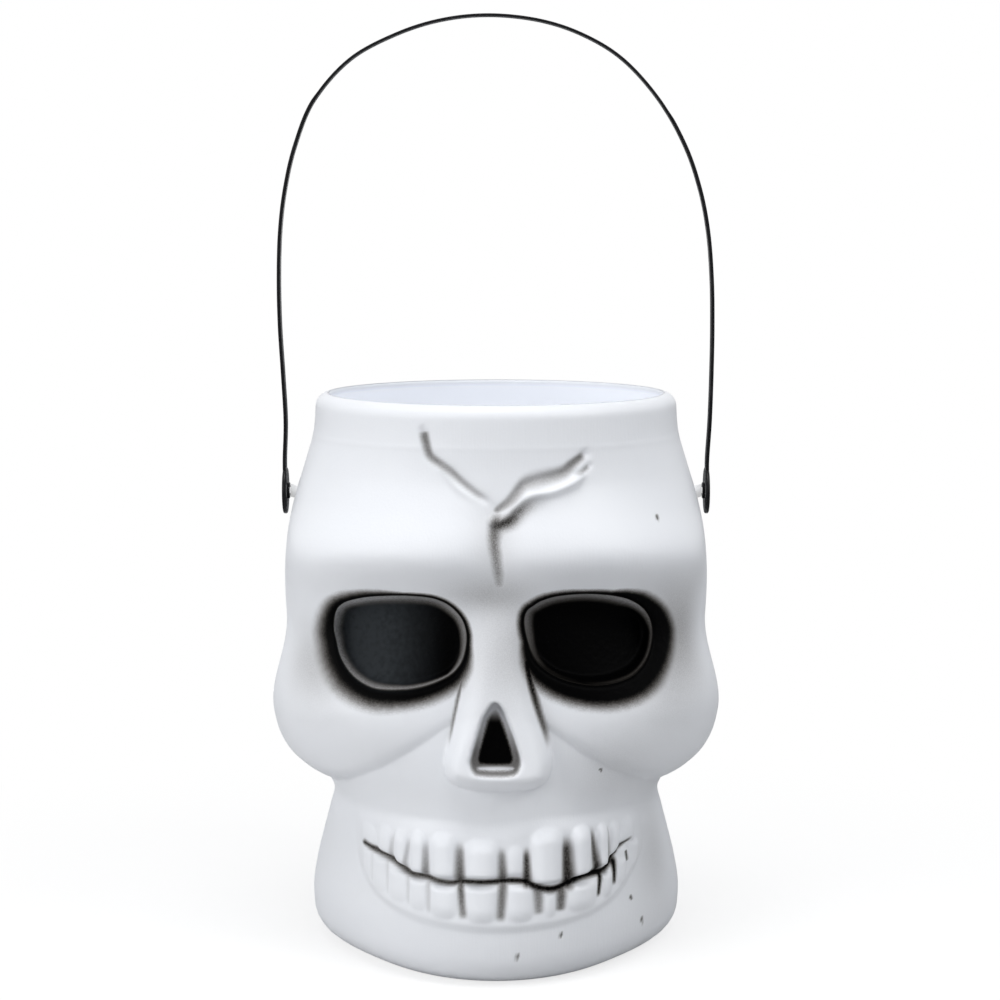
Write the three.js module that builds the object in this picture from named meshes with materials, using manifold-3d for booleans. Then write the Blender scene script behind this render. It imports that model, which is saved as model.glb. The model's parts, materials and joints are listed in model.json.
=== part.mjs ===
// A skull-shaped candy bucket. A blow-moulded head, open at the crown, hangs on a strap handle
// that turns on two snap studs in the temples. Millimetres, +Z up, and the face looks along -Y.
// The origin is on the ground under the middle of the head, and the handle turns in the plane Y = 0.

import * as THREE from "three";
import { mergeVertices } from "three/addons/utils/BufferGeometryUtils.js";
import Module from "manifold-3d";

const wasm = await Module();
wasm.setup();

// Driving dimensions of the head
const bucketHeight = 188;
const rimDiameter = 124;
const lipWidth = 4.8;
const templeWidth = 145.4;
const cheekSpread = 8;
const underCheekWidth = 112.4;
const jawWidth = 127.4;
const browReach = 67;
const eyeReach = 66;
const lipReach = 68;
const jawReach = 74;
const craniumReach = 78.5;
const napeReach = 64;
const wall = 1.4;
const lipRadius = 4.4;
const footRadius = 11;
const footPushUp = 2.5;

// Driving dimensions of the face
const browLift = 5;
const browThickness = 11.5;
const cheekEdgeHeight = 58;
const cheekEdgeRise = 27;
const cheekEdgeSoftness = 11;
const cheekTopHeight = 104;
const orbitDepth = 4.6;
const glabellaDepth = 2.4;
const glabellaWidth = 9;
const eyeWidth = 45.2;
const eyeHeight = 30.6;
const eyeSpacing = 64.4;
const eyeLevel = 111;
const socketDepth = 9;
const noseLift = 10;
const noseWidth = 36;
const noseBridgeWidth = 17;
const noseTopHeight = 130;
const noseBaseHeight = 65;
const noseLipSoftness = 5;
const noseHoleWidth = 15.6;
const noseHoleHeight = 23;
const noseHoleBase = 71.5;
const noseHoleDepth = 8;
const toothArchWidth = 90;
const biteHeight = 34.5;
const biteRise = 8.5;
const upperToothHeight = 13;
const lowerToothHeight = 10.5;
const toothGap = 1.6;
const toothLift = 1.5;
const toothCorner = 1.4;
const muzzleLift = 1.6;
const crackWidth = 1.7;
const crackRidgeWidth = 2.8;

// Driving dimensions of the handle: its ends stand off the temples, and it bows out past them
const pivotHeight = 154;
const handleRise = 161.2;
const handleBow = 1.2;
const pegStandOff = 3.1;
const strapWidth = 6;
const strapThickness = 0.8;
const gripWidth = 7.4;
const gripThickness = 0.9;
const paddleDiameter = 16;
const paddleThickness = 1.4;
const collarDiameter = 5.8;
const collarThickness = 0.8;

// Driving dimensions of the snap studs, and the clearances
const shankDiameter = 4.3;
const studHeadDiameter = 9;
const studHeadThickness = 1;
const pinDiameter = 2.1;
const bulbOverhang = 0.45;
const bulbLength = 0.4;
const runningGap = 0.3;
const overrun = 3;

// How finely the surfaces are cut
const headSegments = 56;
const headRings = 31;
const cavitySegments = 36;
const cavityRings = 20;
const facetShare = 0.25;
const roundSegments = 20;
const strapSteps = 56;

const headWhite = new THREE.MeshStandardMaterial({ color: 0xeceef2, roughness: 0.42, metalness: 0 });
const strapBlack = new THREE.MeshStandardMaterial({ color: 0x17181b, roughness: 0.35, metalness: 0 });
const studWhite = new THREE.MeshStandardMaterial({ color: 0xd9dadd, roughness: 0.45, metalness: 0 });

// Helpers

const radians = THREE.MathUtils.degToRad;
const smooth = (value, from, to) => THREE.MathUtils.smoothstep(value, from, to);
const bell = (offset, reach) => Math.exp(-((offset / reach) ** 2));

// A smooth curve through rows of [share of the bucket's height, size].
function levelCurve(rows) {
  const heights = rows.map(([share]) => share * bucketHeight);
  const sizes = rows.map(([, size]) => size);
  const last = rows.length - 1;
  const slope = (i) => {
    const before = Math.max(i - 1, 0);
    const after = Math.min(i + 1, last);
    return (sizes[after] - sizes[before]) / (heights[after] - heights[before]);
  };
  return (height) => {
    const at = THREE.MathUtils.clamp(height, 0, heights[last]);
    const found = heights.findIndex((level) => level >= at);
    const i = THREE.MathUtils.clamp(found - 1, 0, last - 1);
    const span = heights[i + 1] - heights[i];
    const t = (at - heights[i]) / span;
    const rise = t * t * (3 - 2 * t);
    const leave = t * (1 - t) ** 2 * span * slope(i);
    const arrive = t * t * (t - 1) * span * slope(i + 1);
    return sizes[i] + (sizes[i + 1] - sizes[i]) * rise + leave + arrive;
  };
}

function toSolid(geometry) {
  const bare = geometry.clone();
  bare.deleteAttribute("normal");
  bare.deleteAttribute("uv");
  const merged = mergeVertices(bare);
  const index = Array.from(merged.index.array);
  const corners = [];
  for (let i = 0; i < index.length; i += 3) {
    const [a, b, c] = index.slice(i, i + 3);
    if (a !== b && b !== c && c !== a) corners.push(a, b, c);
  }
  const mesh = new wasm.Mesh({
    numProp: 3,
    vertProperties: Float32Array.from(merged.attributes.position.array),
    triVerts: Uint32Array.from(corners),
  });
  return new wasm.Manifold(mesh);
}

function toGeometry(solid) {
  const mesh = solid.getMesh();
  const geometry = new THREE.BufferGeometry();
  geometry.setAttribute("position", new THREE.Float32BufferAttribute(mesh.vertProperties, 3));
  geometry.setIndex(Array.from(mesh.triVerts));
  geometry.computeVertexNormals();
  return geometry;
}

const join = (solids) => solids.reduce((sum, next) => sum.add(next));

function levelRange(from, to, count) {
  return Array.from({ length: count + 1 }, (_, i) => from + (to - from) * i / count);
}

const quarterTurns = (count) => levelRange(0, Math.PI / 2, count);

// A round bar along X, from one place to another, in the pivot plane.
function barAlongX(diameter, from, to, height) {
  const bar = new THREE.CylinderGeometry(diameter / 2, diameter / 2, to - from, roundSegments);
  bar.rotateZ(Math.PI / 2);
  bar.translate((from + to) / 2, 0, height);
  return bar;
}

// An outline drawn from the front, carried through the head from one depth to another.
function frontPrism(outline, from, to) {
  const prism = new THREE.ExtrudeGeometry(outline, { depth: to - from, bevelEnabled: false });
  prism.rotateX(Math.PI / 2);
  prism.translate(0, to, 0);
  return prism;
}

// The head's form: its plan at each height, as distances from the upright middle line

const halfWidth = levelCurve([
  [0, 0.49 * jawWidth],
  [0.085, 0.5 * jawWidth],
  [0.138, 0.489 * jawWidth],
  [0.186, 0.472 * jawWidth],
  [0.234, 0.514 * underCheekWidth],
  [0.275, 0.5 * underCheekWidth],
  [0.31, 0.525 * underCheekWidth],
  [0.36, 0.583 * underCheekWidth],
  [0.44, 0.478 * templeWidth],
  [0.53, 0.49 * templeWidth],
  [0.66, 0.5 * templeWidth],
  [0.745, 0.493 * templeWidth],
  [0.814, 0.474 * templeWidth],
  [0.872, 0.529 * rimDiameter],
  [0.931, 0.504 * rimDiameter],
  [1, 0.496 * rimDiameter],
]);
const frontReach = levelCurve([
  [0, 0.985 * jawReach],
  [0.09, jawReach],
  [0.19, 0.965 * jawReach],
  [0.27, 1.01 * lipReach],
  [0.34, lipReach],
  [0.45, 0.985 * lipReach],
  [0.58, eyeReach],
  [0.7, 1.005 * eyeReach],
  [0.78, browReach],
  [0.825, 0.975 * browReach],
  [0.87, 0.505 * rimDiameter],
  [0.93, 0.499 * rimDiameter],
  [1, 0.496 * rimDiameter],
]);
const backReach = levelCurve([
  [0, 0.98 * napeReach],
  [0.22, napeReach],
  [0.36, 0.89 * craniumReach],
  [0.52, 0.985 * craniumReach],
  [0.64, craniumReach],
  [0.78, 0.945 * craniumReach],
  [0.88, 0.55 * rimDiameter],
  [0.94, 0.506 * rimDiameter],
  [1, 0.496 * rimDiameter],
]);
// How far the plan's front corners are drawn in from an ellipse, as at the chin, or filled out.
const frontPinchShare = levelCurve([
  [0, 0.06],
  [0.16, 0.056],
  [0.28, 0.01],
  [0.42, -0.03],
  [0.66, -0.035],
  [0.85, -0.008],
  [0.94, 0],
  [1, 0],
]);

// The plain plan's radius. The turn is zero at the face and grows towards +X.
function plainRadius(turn, height) {
  const ahead = Math.cos(turn) > 0;
  const reach = ahead ? frontReach(height) : backReach(height);
  const ellipse = 1 / Math.hypot(Math.sin(turn) / halfWidth(height), Math.cos(turn) / reach);
  return ahead ? ellipse * (1 - frontPinchShare(height) * Math.sin(2 * turn) ** 2) : ellipse;
}

// The cheekbones stand out at the sides of the face, over a low edge that climbs to the nose.
function cheekRise(turn, height) {
  const sideShare = Math.min(turn / radians(80), 1);
  const edge = cheekEdgeHeight + cheekEdgeRise * (1 - sideShare);
  const window = smooth(turn, 0, radians(75)) * (1 - smooth(turn, radians(92), radians(148)));
  const below = smooth(height, edge - 0.3 * cheekEdgeSoftness, edge + 0.7 * cheekEdgeSoftness);
  const above = 1 - smooth(height, edge + 1.7 * cheekEdgeSoftness, cheekTopHeight + 0.1 * cheekEdgeRise);
  return cheekSpread * window * below * above;
}

function browRise(turn, height) {
  const window = smooth(turn, 0, radians(20)) * (1 - smooth(turn, radians(48), radians(80)));
  const level = eyeLevel + 0.95 * eyeHeight - 0.1 * eyeHeight * (turn / radians(60)) ** 2;
  return browLift * window * bell(height - level, browThickness);
}

function eyeBowl(x, height) {
  const across = (x - eyeSpacing / 2) / (0.72 * eyeWidth);
  const up = (height - eyeLevel) / (0.74 * eyeHeight);
  return orbitDepth * Math.exp(-((across ** 2 + up ** 2) ** 1.5));
}

function glabellaValley(x, height) {
  const fade = smooth(height, 0.66 * bucketHeight, 0.74 * bucketHeight)
    * (1 - smooth(height, 0.8 * bucketHeight, 0.88 * bucketHeight));
  return glabellaDepth * fade * bell(x, glabellaWidth);
}

// The nose: a ridge that widens and rises from between the eyes, and ends in a low lip.
function noseRise(x, height) {
  const fromTop = noseTopHeight - height;
  const down = smooth(fromTop, 0, noseTopHeight - noseBaseHeight);
  const half = THREE.MathUtils.lerp(noseBridgeWidth, noseWidth, down) / 2;
  const crown = 1 - smooth(x, 0.3 * half, 1.12 * half);
  const base = noseBaseHeight + noseLipSoftness * Math.min(x / half, 1) ** 3;
  const lip = smooth(height, base - noseLipSoftness, base + noseLipSoftness);
  const start = smooth(fromTop, 0, 0.25 * noseTopHeight);
  return noseLift * (0.25 + 0.75 * down) * start * crown * lip;
}

// The swell of the jaws behind both rows of teeth.
function muzzleRise(x, height) {
  const above = (height - biteHeight) / upperToothHeight;
  const below = (biteHeight - height) / lowerToothHeight;
  const band = (1 - smooth(above, 1.1, 2.2)) * (1 - smooth(below, 0.8, 1.7));
  return muzzleLift * band * (1 - smooth(x, 0.42 * toothArchWidth, 0.6 * toothArchWidth));
}

// The outer surface of the sides, with the face on it.
function outerRadius(angle, height) {
  const turn = Math.abs(angle);
  const plain = plainRadius(turn, height) + cheekRise(turn, height) + browRise(turn, height);
  if (Math.cos(turn) <= 0) return plain;
  const x = plain * Math.sin(turn);
  const raised = noseRise(x, height) + muzzleRise(x, height);
  return plain + raised - eyeBowl(x, height) - glabellaValley(x, height);
}

function pointOnHead(angle, height, lift = 0) {
  const radius = outerRadius(angle, height) + lift;
  return new THREE.Vector3(radius * Math.sin(angle), -radius * Math.cos(angle), height);
}

// The place on the face that lies at a given distance from the middle.
function angleAtX(x, height) {
  let angle = Math.asin(x / plainRadius(0, height));
  for (let i = 0; i < 12; i += 1) {
    angle = Math.asin(THREE.MathUtils.clamp(x / outerRadius(angle, height), -1, 1));
  }
  return angle;
}

// The inner surface keeps the wall's thickness on slopes, and passes behind the nose hole.
function innerRadius(angle, height) {
  const turn = Math.abs(angle);
  const plain = plainRadius(turn, height) + cheekRise(turn, height) + browRise(turn, height);
  const above = plainRadius(turn, height + wall) + cheekRise(turn, height + wall);
  const below = plainRadius(turn, height - wall) + cheekRise(turn, height - wall);
  const lean = (above - below) / (2 * wall);
  const level = plain - wall * Math.hypot(1, lean);
  if (Math.cos(turn) <= 0) return level;
  const x = plain * Math.sin(turn);
  const bridge = noseRise(x, height) * smooth(height, noseHoleBase + noseHoleHeight + wall, noseTopHeight);
  return level - eyeBowl(x, height) - glabellaValley(x, height) + 0.6 * bridge;
}

// The cavity's straight facets may not cut through the wall, so its radius is the least one nearby.
function cavityRadius(angle, height) {
  const nearRing = facetShare * bucketHeight / cavityRings;
  const nearTurn = facetShare * Math.PI / cavitySegments;
  const nearby = [-nearRing, 0, nearRing].flatMap((rise) => [-nearTurn, 0, nearTurn]
    .map((turn) => innerRadius(angle + turn, height + rise)));
  return Math.min(...nearby);
}

// A closed body turned from rings, each ring a height and a rule for its radius at every angle.
function ringBody(rings, segments) {
  const profile = rings.map((ring, row) => new THREE.Vector2(1, row));
  const body = new THREE.LatheGeometry(profile, segments);
  const place = body.attributes.position;
  for (let i = 0; i < place.count; i += 1) {
    const ring = rings[i % rings.length];
    const share = Math.floor(i / rings.length) % segments / segments;
    const even = 2 * Math.PI * share;
    const angle = even - Math.PI - 0.4 * Math.sin(even - Math.PI);
    const radius = ring.radius(angle);
    place.setXYZ(i, radius * Math.sin(angle), -radius * Math.cos(angle), ring.height);
  }
  return body;
}

function headBody() {
  const foot = (inset, height) => ({ height, radius: (angle) => outerRadius(angle, footRadius) - inset });
  const pushUpInset = 2.2 * footRadius;
  const rings = [
    { height: footPushUp, radius: () => 0 },
    foot(pushUpInset, footPushUp),
    foot(0.5 * (footRadius + pushUpInset), 0),
    ...quarterTurns(4).map((t) => foot(footRadius * (1 - Math.sin(t)), footRadius * (1 - Math.cos(t)))),
    ...levelRange(footRadius, bucketHeight - lipRadius, headRings).slice(1)
      .map((height) => ({ height, radius: (angle) => outerRadius(angle, height) })),
    ...quarterTurns(4).slice(1).map((t) => ({
      height: bucketHeight - lipRadius * (1 - Math.sin(t)),
      radius: (angle) => outerRadius(angle, bucketHeight - lipRadius) - lipRadius * (1 - Math.cos(t)),
    })),
    { height: bucketHeight, radius: () => 0 },
  ];
  return toSolid(ringBody(rings, headSegments));
}

function headCavity() {
  const floor = (inset, height) => ({ height, radius: (angle) => cavityRadius(angle, footRadius) - inset });
  const inside = footRadius - wall;
  const neck = bucketHeight - lipRadius - wall;
  const mouth = rimDiameter / 2 - lipWidth;
  const rings = [
    { height: footPushUp + wall, radius: () => 0 },
    floor(2.2 * footRadius, footPushUp + wall),
    ...quarterTurns(3).map((t) => floor(inside * (1 - Math.sin(t)), wall + inside * (1 - Math.cos(t)))),
    ...levelRange(footRadius, neck, cavityRings).slice(1)
      .map((height) => ({ height, radius: (angle) => cavityRadius(angle, height) })),
    { height: bucketHeight - 0.5 * lipRadius, radius: () => mouth + 0.25 * lipRadius },
    { height: bucketHeight - wall, radius: () => mouth },
    { height: bucketHeight + overrun, radius: () => mouth },
    { height: bucketHeight + overrun, radius: () => 0 },
  ];
  return toSolid(ringBody(rings, cavitySegments));
}

// The eye sockets

const eyeOutlineShares = [
  [1, 0.22], [0.9, -0.3], [0.66, -0.7], [0.25, -0.96], [-0.2, -1], [-0.62, -0.76], [-0.9, -0.28],
  [-1, 0.25], [-0.94, 0.66], [-0.66, 0.92], [-0.1, 1], [0.42, 0.96], [0.82, 0.7],
];

function eyeOutline(side, growth) {
  const across = eyeWidth / 2 + growth;
  const up = eyeHeight / 2 + growth;
  const spots = eyeOutlineShares.map(([acrossShare, upShare]) => new THREE.Vector3(
    side * (eyeSpacing / 2 - acrossShare * across), eyeLevel + upShare * up, 0));
  const curve = new THREE.CatmullRomCurve3(spots, true);
  const round = curve.getPoints(2 * eyeOutlineShares.length).slice(0, -1);
  return new THREE.Shape(round.map((spot) => new THREE.Vector2(spot.x, spot.y)));
}

// The space behind a socket's floor, which follows the face one depth behind it.
function behindFace(depth) {
  const low = eyeLevel - eyeHeight;
  const high = eyeLevel + eyeHeight;
  const radius = (angle) => plainRadius(Math.abs(angle), eyeLevel) - orbitDepth - depth;
  const rings = [
    { height: low, radius: () => 0 },
    { height: low, radius },
    { height: high, radius },
    { height: high, radius: () => 0 },
  ];
  return toSolid(ringBody(rings, headSegments));
}

// Both sockets, or with growth and more depth the cups of wall that close them.
function eyeSockets(growth, depth) {
  const reach = Math.max(browReach, eyeReach) + noseLift + overrun;
  const prisms = [-1, 1].map((side) => toSolid(frontPrism(eyeOutline(side, growth), -reach, 0)));
  return join(prisms).subtract(behindFace(depth));
}

// The nose hole, a rounded triangle, or with growth and more depth the cup of wall that closes it.
function noseHole(growth, depth) {
  const half = noseHoleWidth / 2 + growth;
  const height = noseHoleHeight + 2 * growth;
  const base = noseHoleBase - growth;
  const low = base + 0.26 * height;
  const high = base + 0.9 * height;
  const outline = new THREE.Shape();
  outline.moveTo(-0.62 * half, base);
  outline.lineTo(0.62 * half, base);
  outline.quadraticCurveTo(1.12 * half, base, 0.92 * half, low);
  outline.lineTo(0.3 * half, high);
  outline.quadraticCurveTo(0, base + 1.06 * height, -0.3 * half, high);
  outline.lineTo(-0.92 * half, low);
  outline.quadraticCurveTo(-1.12 * half, base, -0.62 * half, base);
  const front = outerRadius(0, noseHoleBase + noseHoleHeight / 3);
  return toSolid(frontPrism(outline, -front - overrun, depth - front));
}

// The teeth: [middle, width] in shares of half the arch, and [height, lift] in shares of a full tooth

const upperToothShares = [
  [-0.92, 0.11, 0.72, 0.5], [-0.795, 0.12, 0.84, 0.6], [-0.675, 0.11, 0.9, 0.7], [-0.55, 0.14, 1, 0.85],
  [-0.36, 0.2, 1, 0.95], [-0.1, 0.255, 0.86, 1.2], [0.145, 0.12, 0.74, 0.4], [0.37, 0.24, 1.12, 1.2],
  [0.62, 0.16, 1, 0.9], [0.76, 0.09, 0.95, 0.75], [0.85, 0.075, 0.85, 0.6], [0.94, 0.09, 0.7, 0.5],
];
const lowerToothShares = [
  [-0.935, 0.07, 0.55, 0.4], [-0.84, 0.1, 0.7, 0.5], [-0.705, 0.145, 0.85, 0.6], [-0.555, 0.145, 0.95, 0.7],
  [-0.375, 0.2, 1, 0.8], [-0.11, 0.24, 1.05, 0.9], [0.17, 0.205, 1.05, 0.9], [0.385, 0.08, 0.85, 0.5],
  [0.62, 0.21, 0.95, 0.8], [0.8, 0.06, 0.8, 0.6], [0.89, 0.065, 0.65, 0.5], [0.98, 0.08, 0.5, 0.4],
];

// A tooth stands square to the face at its place, with its root in the wall.
function tooth([middleShare, widthShare, heightShare, liftShare], upward) {
  const x = middleShare * toothArchWidth / 2;
  const bite = biteHeight + biteRise * middleShare ** 2;
  const width = widthShare * toothArchWidth / 2;
  const height = heightShare * (upward ? upperToothHeight : lowerToothHeight);
  const foot = upward ? bite + toothGap / 2 : bite - toothGap / 2 - height;
  const corner = Math.min(toothCorner, 0.45 * width);
  const outline = new THREE.Shape();
  outline.absarc(width / 2 - corner, height - corner, corner, 0, Math.PI / 2);
  outline.absarc(corner - width / 2, height - corner, corner, Math.PI / 2, Math.PI);
  outline.absarc(corner - width / 2, corner, corner, Math.PI, 1.5 * Math.PI);
  outline.absarc(width / 2 - corner, corner, corner, 1.5 * Math.PI, 2 * Math.PI);
  const depth = wall + liftShare * toothLift;
  const block = new THREE.ExtrudeGeometry(outline, { depth, bevelEnabled: false, curveSegments: 1 });
  block.translate(0, 0, -wall);
  block.rotateX(Math.PI / 2);
  const middle = foot + height / 2;
  const angle = angleAtX(x, middle);
  const near = pointOnHead(angle - radians(2), middle);
  const far = pointOnHead(angle + radians(2), middle);
  block.rotateZ(Math.atan2(far.y - near.y, far.x - near.x));
  const root = pointOnHead(angle, middle);
  block.translate(root.x, root.y, foot);
  return toSolid(block);
}

const teeth = () => join([
  ...upperToothShares.map((shares) => tooth(shares, true)),
  ...lowerToothShares.map((shares) => tooth(shares, false)),
]);

// The crack in the forehead: places in shares of half the temples' width and of the height

const crackLeftShares = [
  [-0.33, 0.957], [-0.31, 0.93], [-0.28, 0.908], [-0.15, 0.868], [-0.04, 0.828], [0, 0.805],
];
const crackRightShares = [[0.42, 0.914], [0.3, 0.883], [0.18, 0.87], [0.11, 0.851], [0.02, 0.812]];
const crackStemShares = [[-0.02, 0.84], [0, 0.79], [0.01, 0.7]];
const crackRidgeShares = [[0.4, 0.89], [0.27, 0.862], [0.16, 0.85], [0.09, 0.826], [0, 0.796]];

function surfaceCord(shares, diameter) {
  const spots = shares.map(([across, up]) => {
    const height = up * bucketHeight;
    return pointOnHead(angleAtX(across * templeWidth / 2, height), height);
  });
  const section = new THREE.Shape().absarc(0, 0, diameter / 2, 0, 2 * Math.PI);
  const extrudePath = new THREE.CatmullRomCurve3(spots);
  const steps = 2 * spots.length;
  return toSolid(new THREE.ExtrudeGeometry(section, { steps, extrudePath, curveSegments: 3 }));
}

// The snap studs stand square on the sloping temples, and their pins lie on the handle's axis

const sideAt = (height) => outerRadius(Math.PI / 2, height);
const templeSide = sideAt(pivotHeight);
const templeLean = Math.atan2(sideAt(pivotHeight - wall) - sideAt(pivotHeight + wall), 2 * wall);
const strapInside = templeSide + pegStandOff;
const strapEndSide = strapInside + paddleThickness / 2;
const studPlane = strapInside - collarThickness - runningGap;
const shankReach = (studPlane - templeSide) * Math.cos(templeLean);
const bulbDiameter = pinDiameter + 2 * bulbOverhang;
const bulbFrom = strapInside + runningGap;

// Sets a body that was turned round +Y onto the line of the stud.
function alongStud(body) {
  body.rotateZ(-Math.PI / 2);
  body.rotateY(-templeLean);
  body.translate(studPlane, 0, pivotHeight);
  return body;
}

// The hole for the stud's shank, with a flat seat for its head inside the wall.
function studBore() {
  const hole = shankDiameter / 2 + runningGap;
  const seat = studHeadDiameter / 2 + runningGap;
  const seatDepth = studHeadThickness + overrun;
  const holeBody = new THREE.CylinderGeometry(hole, hole, 4 * (shankReach + wall), roundSegments);
  const seatBody = new THREE.CylinderGeometry(seat, seat, seatDepth, roundSegments);
  seatBody.translate(0, -shankReach - wall - seatDepth / 2, 0);
  return toSolid(alongStud(holeBody)).add(toSolid(alongStud(seatBody)));
}

function snapStud() {
  const shank = shankDiameter / 2;
  const head = studHeadDiameter / 2;
  const seat = -shankReach - wall - runningGap;
  const profile = [
    new THREE.Vector2(0, seat - studHeadThickness),
    new THREE.Vector2(head, seat - studHeadThickness),
    new THREE.Vector2(head, seat),
    new THREE.Vector2(shank, seat),
    new THREE.Vector2(shank, shank),
    new THREE.Vector2(0, shank),
  ];
  const body = toSolid(alongStud(new THREE.LatheGeometry(profile, roundSegments)));
  const trim = new THREE.BoxGeometry(shankDiameter, 2 * shankDiameter, 2 * shankDiameter);
  trim.translate(studPlane + shankDiameter / 2, 0, pivotHeight);
  const pin = barAlongX(pinDiameter, studPlane - pinDiameter / 2, bulbFrom + bulbLength / 2, pivotHeight);
  const bulb = barAlongX(bulbDiameter, bulbFrom, bulbFrom + bulbLength, pivotHeight);
  return body.subtract(toSolid(trim)).add(toSolid(pin)).add(toSolid(bulb));
}

const turnedBack = (solid) => solid.rotate([0, 0, 180]);

function bucketShell() {
  const ridge = surfaceCord(crackRidgeShares, crackRidgeWidth);
  const cracks = [crackLeftShares, crackRightShares, crackStemShares]
    .map((shares) => surfaceCord(shares, crackWidth));
  const cups = eyeSockets(wall, socketDepth + wall).add(noseHole(wall, noseHoleDepth + wall));
  const bore = studBore();
  return headBody()
    .add(teeth())
    .add(ridge)
    .subtract(join(cracks))
    .subtract(eyeSockets(0, socketDepth))
    .subtract(noseHole(0, noseHoleDepth))
    .subtract(headCavity().subtract(cups))
    .subtract(bore)
    .subtract(turnedBack(bore));
}

// The strap: [across, up] in shares of half its widest span and of its rise above the pivots

const strapLineShares = [
  [-0.978, 0.15], [-0.988, 0.25], [-1, 0.35], [-1.003, 0.45], [-0.995, 0.55], [-0.97, 0.64],
  [-0.922, 0.73], [-0.835, 0.824], [-0.67, 0.908], [-0.46, 0.96], [-0.25, 0.99], [-0.03, 1],
  [0.2, 0.989], [0.4, 0.959], [0.583, 0.908], [0.75, 0.824], [0.868, 0.73], [0.938, 0.64],
  [0.978, 0.55], [0.997, 0.45], [1.002, 0.35], [1, 0.25], [0.994, 0.15],
];

function strapLine() {
  const widest = strapEndSide + handleBow;
  const straight = [0, 0.035, 0.07].map((share) => share * handleRise);
  const spots = [
    ...straight.map((rise) => new THREE.Vector3(-strapEndSide, rise, 0)),
    ...strapLineShares.map(([across, up]) => new THREE.Vector3(across * widest, up * handleRise, 0)),
    ...straight.reverse().map((rise) => new THREE.Vector3(strapEndSide, rise, 0)),
  ];
  return new THREE.CatmullRomCurve3(spots, false, "centripetal");
}

// A band of the strap between two shares of its length, standing in the pivot plane.
function strapBand(line, from, to, width, thickness) {
  const steps = Math.ceil(strapSteps * (to - from));
  const shares = levelRange(from, to, steps);
  const edge = (offset) => shares.map((share) => {
    const spot = line.getPointAt(share);
    const along = line.getTangentAt(share);
    return new THREE.Vector2(spot.x - along.y * offset, spot.y + along.x * offset);
  });
  const outline = new THREE.Shape([...edge(thickness / 2), ...edge(-thickness / 2).reverse()]);
  const band = frontPrism(outline, -width / 2, width / 2);
  band.translate(0, 0, pivotHeight);
  return toSolid(band);
}

const gripFromShare = 0.335;
const gripToShare = 0.68;

// The round paddle that ends the strap, with a collar on its inner face.
function strapEnd() {
  const collar = barAlongX(collarDiameter, strapInside - collarThickness, strapEndSide, pivotHeight);
  const paddle = barAlongX(paddleDiameter, strapInside, strapInside + paddleThickness, pivotHeight);
  return toSolid(collar).add(toSolid(paddle));
}

// The snap socket: a mouth that the bulb is pushed through, and a wider room behind it.
function strapSocket() {
  const mouthFrom = strapInside - collarThickness - overrun;
  const mouth = barAlongX(pinDiameter + 2 * runningGap, mouthFrom, bulbFrom, pivotHeight);
  const roomTo = bulbFrom + bulbLength + runningGap;
  const room = barAlongX(bulbDiameter + 2 * runningGap, strapInside, roomTo, pivotHeight);
  return toSolid(mouth).add(toSolid(room));
}

function strapHandle() {
  const line = strapLine();
  const end = strapEnd();
  const socket = strapSocket();
  return strapBand(line, 0, 1, strapWidth, strapThickness)
    .add(strapBand(line, gripFromShare, gripToShare, gripWidth, gripThickness))
    .add(end)
    .add(turnedBack(end))
    .subtract(socket)
    .subtract(turnedBack(socket));
}

// The assembly

function place(name, solid, material) {
  const mesh = new THREE.Mesh(toGeometry(solid), material);
  mesh.name = name;
  return mesh;
}

const bucket = new THREE.Group();
bucket.add(place("bucket_shell", bucketShell(), headWhite));
bucket.add(place("strap_handle", strapHandle(), strapBlack));
bucket.add(place("right_snap_stud", snapStud(), studWhite));
bucket.add(place("left_snap_stud", turnedBack(snapStud()), studWhite));

export default bucket;
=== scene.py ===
# %% [markdown]
# # A skull candy bucket
# The pail is one blow-moulded head of white polyethylene, open at the crown. Its sockets, nose hole,
# crack and tooth gaps are sprayed black, and a black strap swings on two studs in the temples.
# The packed model gives the sizes and places. Here every piece gets its real surface and finish.

import json
from math import radians

import bpy
import numpy as np
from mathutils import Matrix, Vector


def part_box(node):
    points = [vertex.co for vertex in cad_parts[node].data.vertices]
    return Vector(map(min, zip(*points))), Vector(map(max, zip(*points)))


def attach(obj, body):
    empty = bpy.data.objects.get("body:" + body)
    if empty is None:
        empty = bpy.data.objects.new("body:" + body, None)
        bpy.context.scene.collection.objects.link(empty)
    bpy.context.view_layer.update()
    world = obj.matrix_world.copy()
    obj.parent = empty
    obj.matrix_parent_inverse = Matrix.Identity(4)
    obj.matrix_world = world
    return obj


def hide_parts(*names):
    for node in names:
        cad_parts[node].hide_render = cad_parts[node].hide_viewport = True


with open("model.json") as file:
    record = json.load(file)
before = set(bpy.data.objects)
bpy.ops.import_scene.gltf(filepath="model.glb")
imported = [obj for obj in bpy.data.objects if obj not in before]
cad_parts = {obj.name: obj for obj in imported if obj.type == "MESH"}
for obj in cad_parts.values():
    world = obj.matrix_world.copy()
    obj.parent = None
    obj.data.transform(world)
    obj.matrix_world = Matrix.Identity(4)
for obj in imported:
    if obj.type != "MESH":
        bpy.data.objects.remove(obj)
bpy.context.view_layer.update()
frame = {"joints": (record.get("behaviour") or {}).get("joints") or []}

# %% [markdown]
# ## Units
# The shapes are worked out in millimetres, as a mould maker would draw them, and turned into metres
# only when a mesh is made. The heights of the bucket, the strap and its pivot and the end of a stud
# are read from the packed model, so the dressed pieces stay where its pieces are.

# %% Units and the places taken from the packed model
MM = 0.001
bucket_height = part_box("bucket_shell")[1][2] / MM
strap_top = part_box("strap_handle")[1][2] / MM
stud_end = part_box("right_snap_stud")[1][0] / MM
pivot_height = frame["joints"][0]["pos_m"][2] / MM
print("bucket height", round(bucket_height, 2), "pivot", round(pivot_height, 2))

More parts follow.
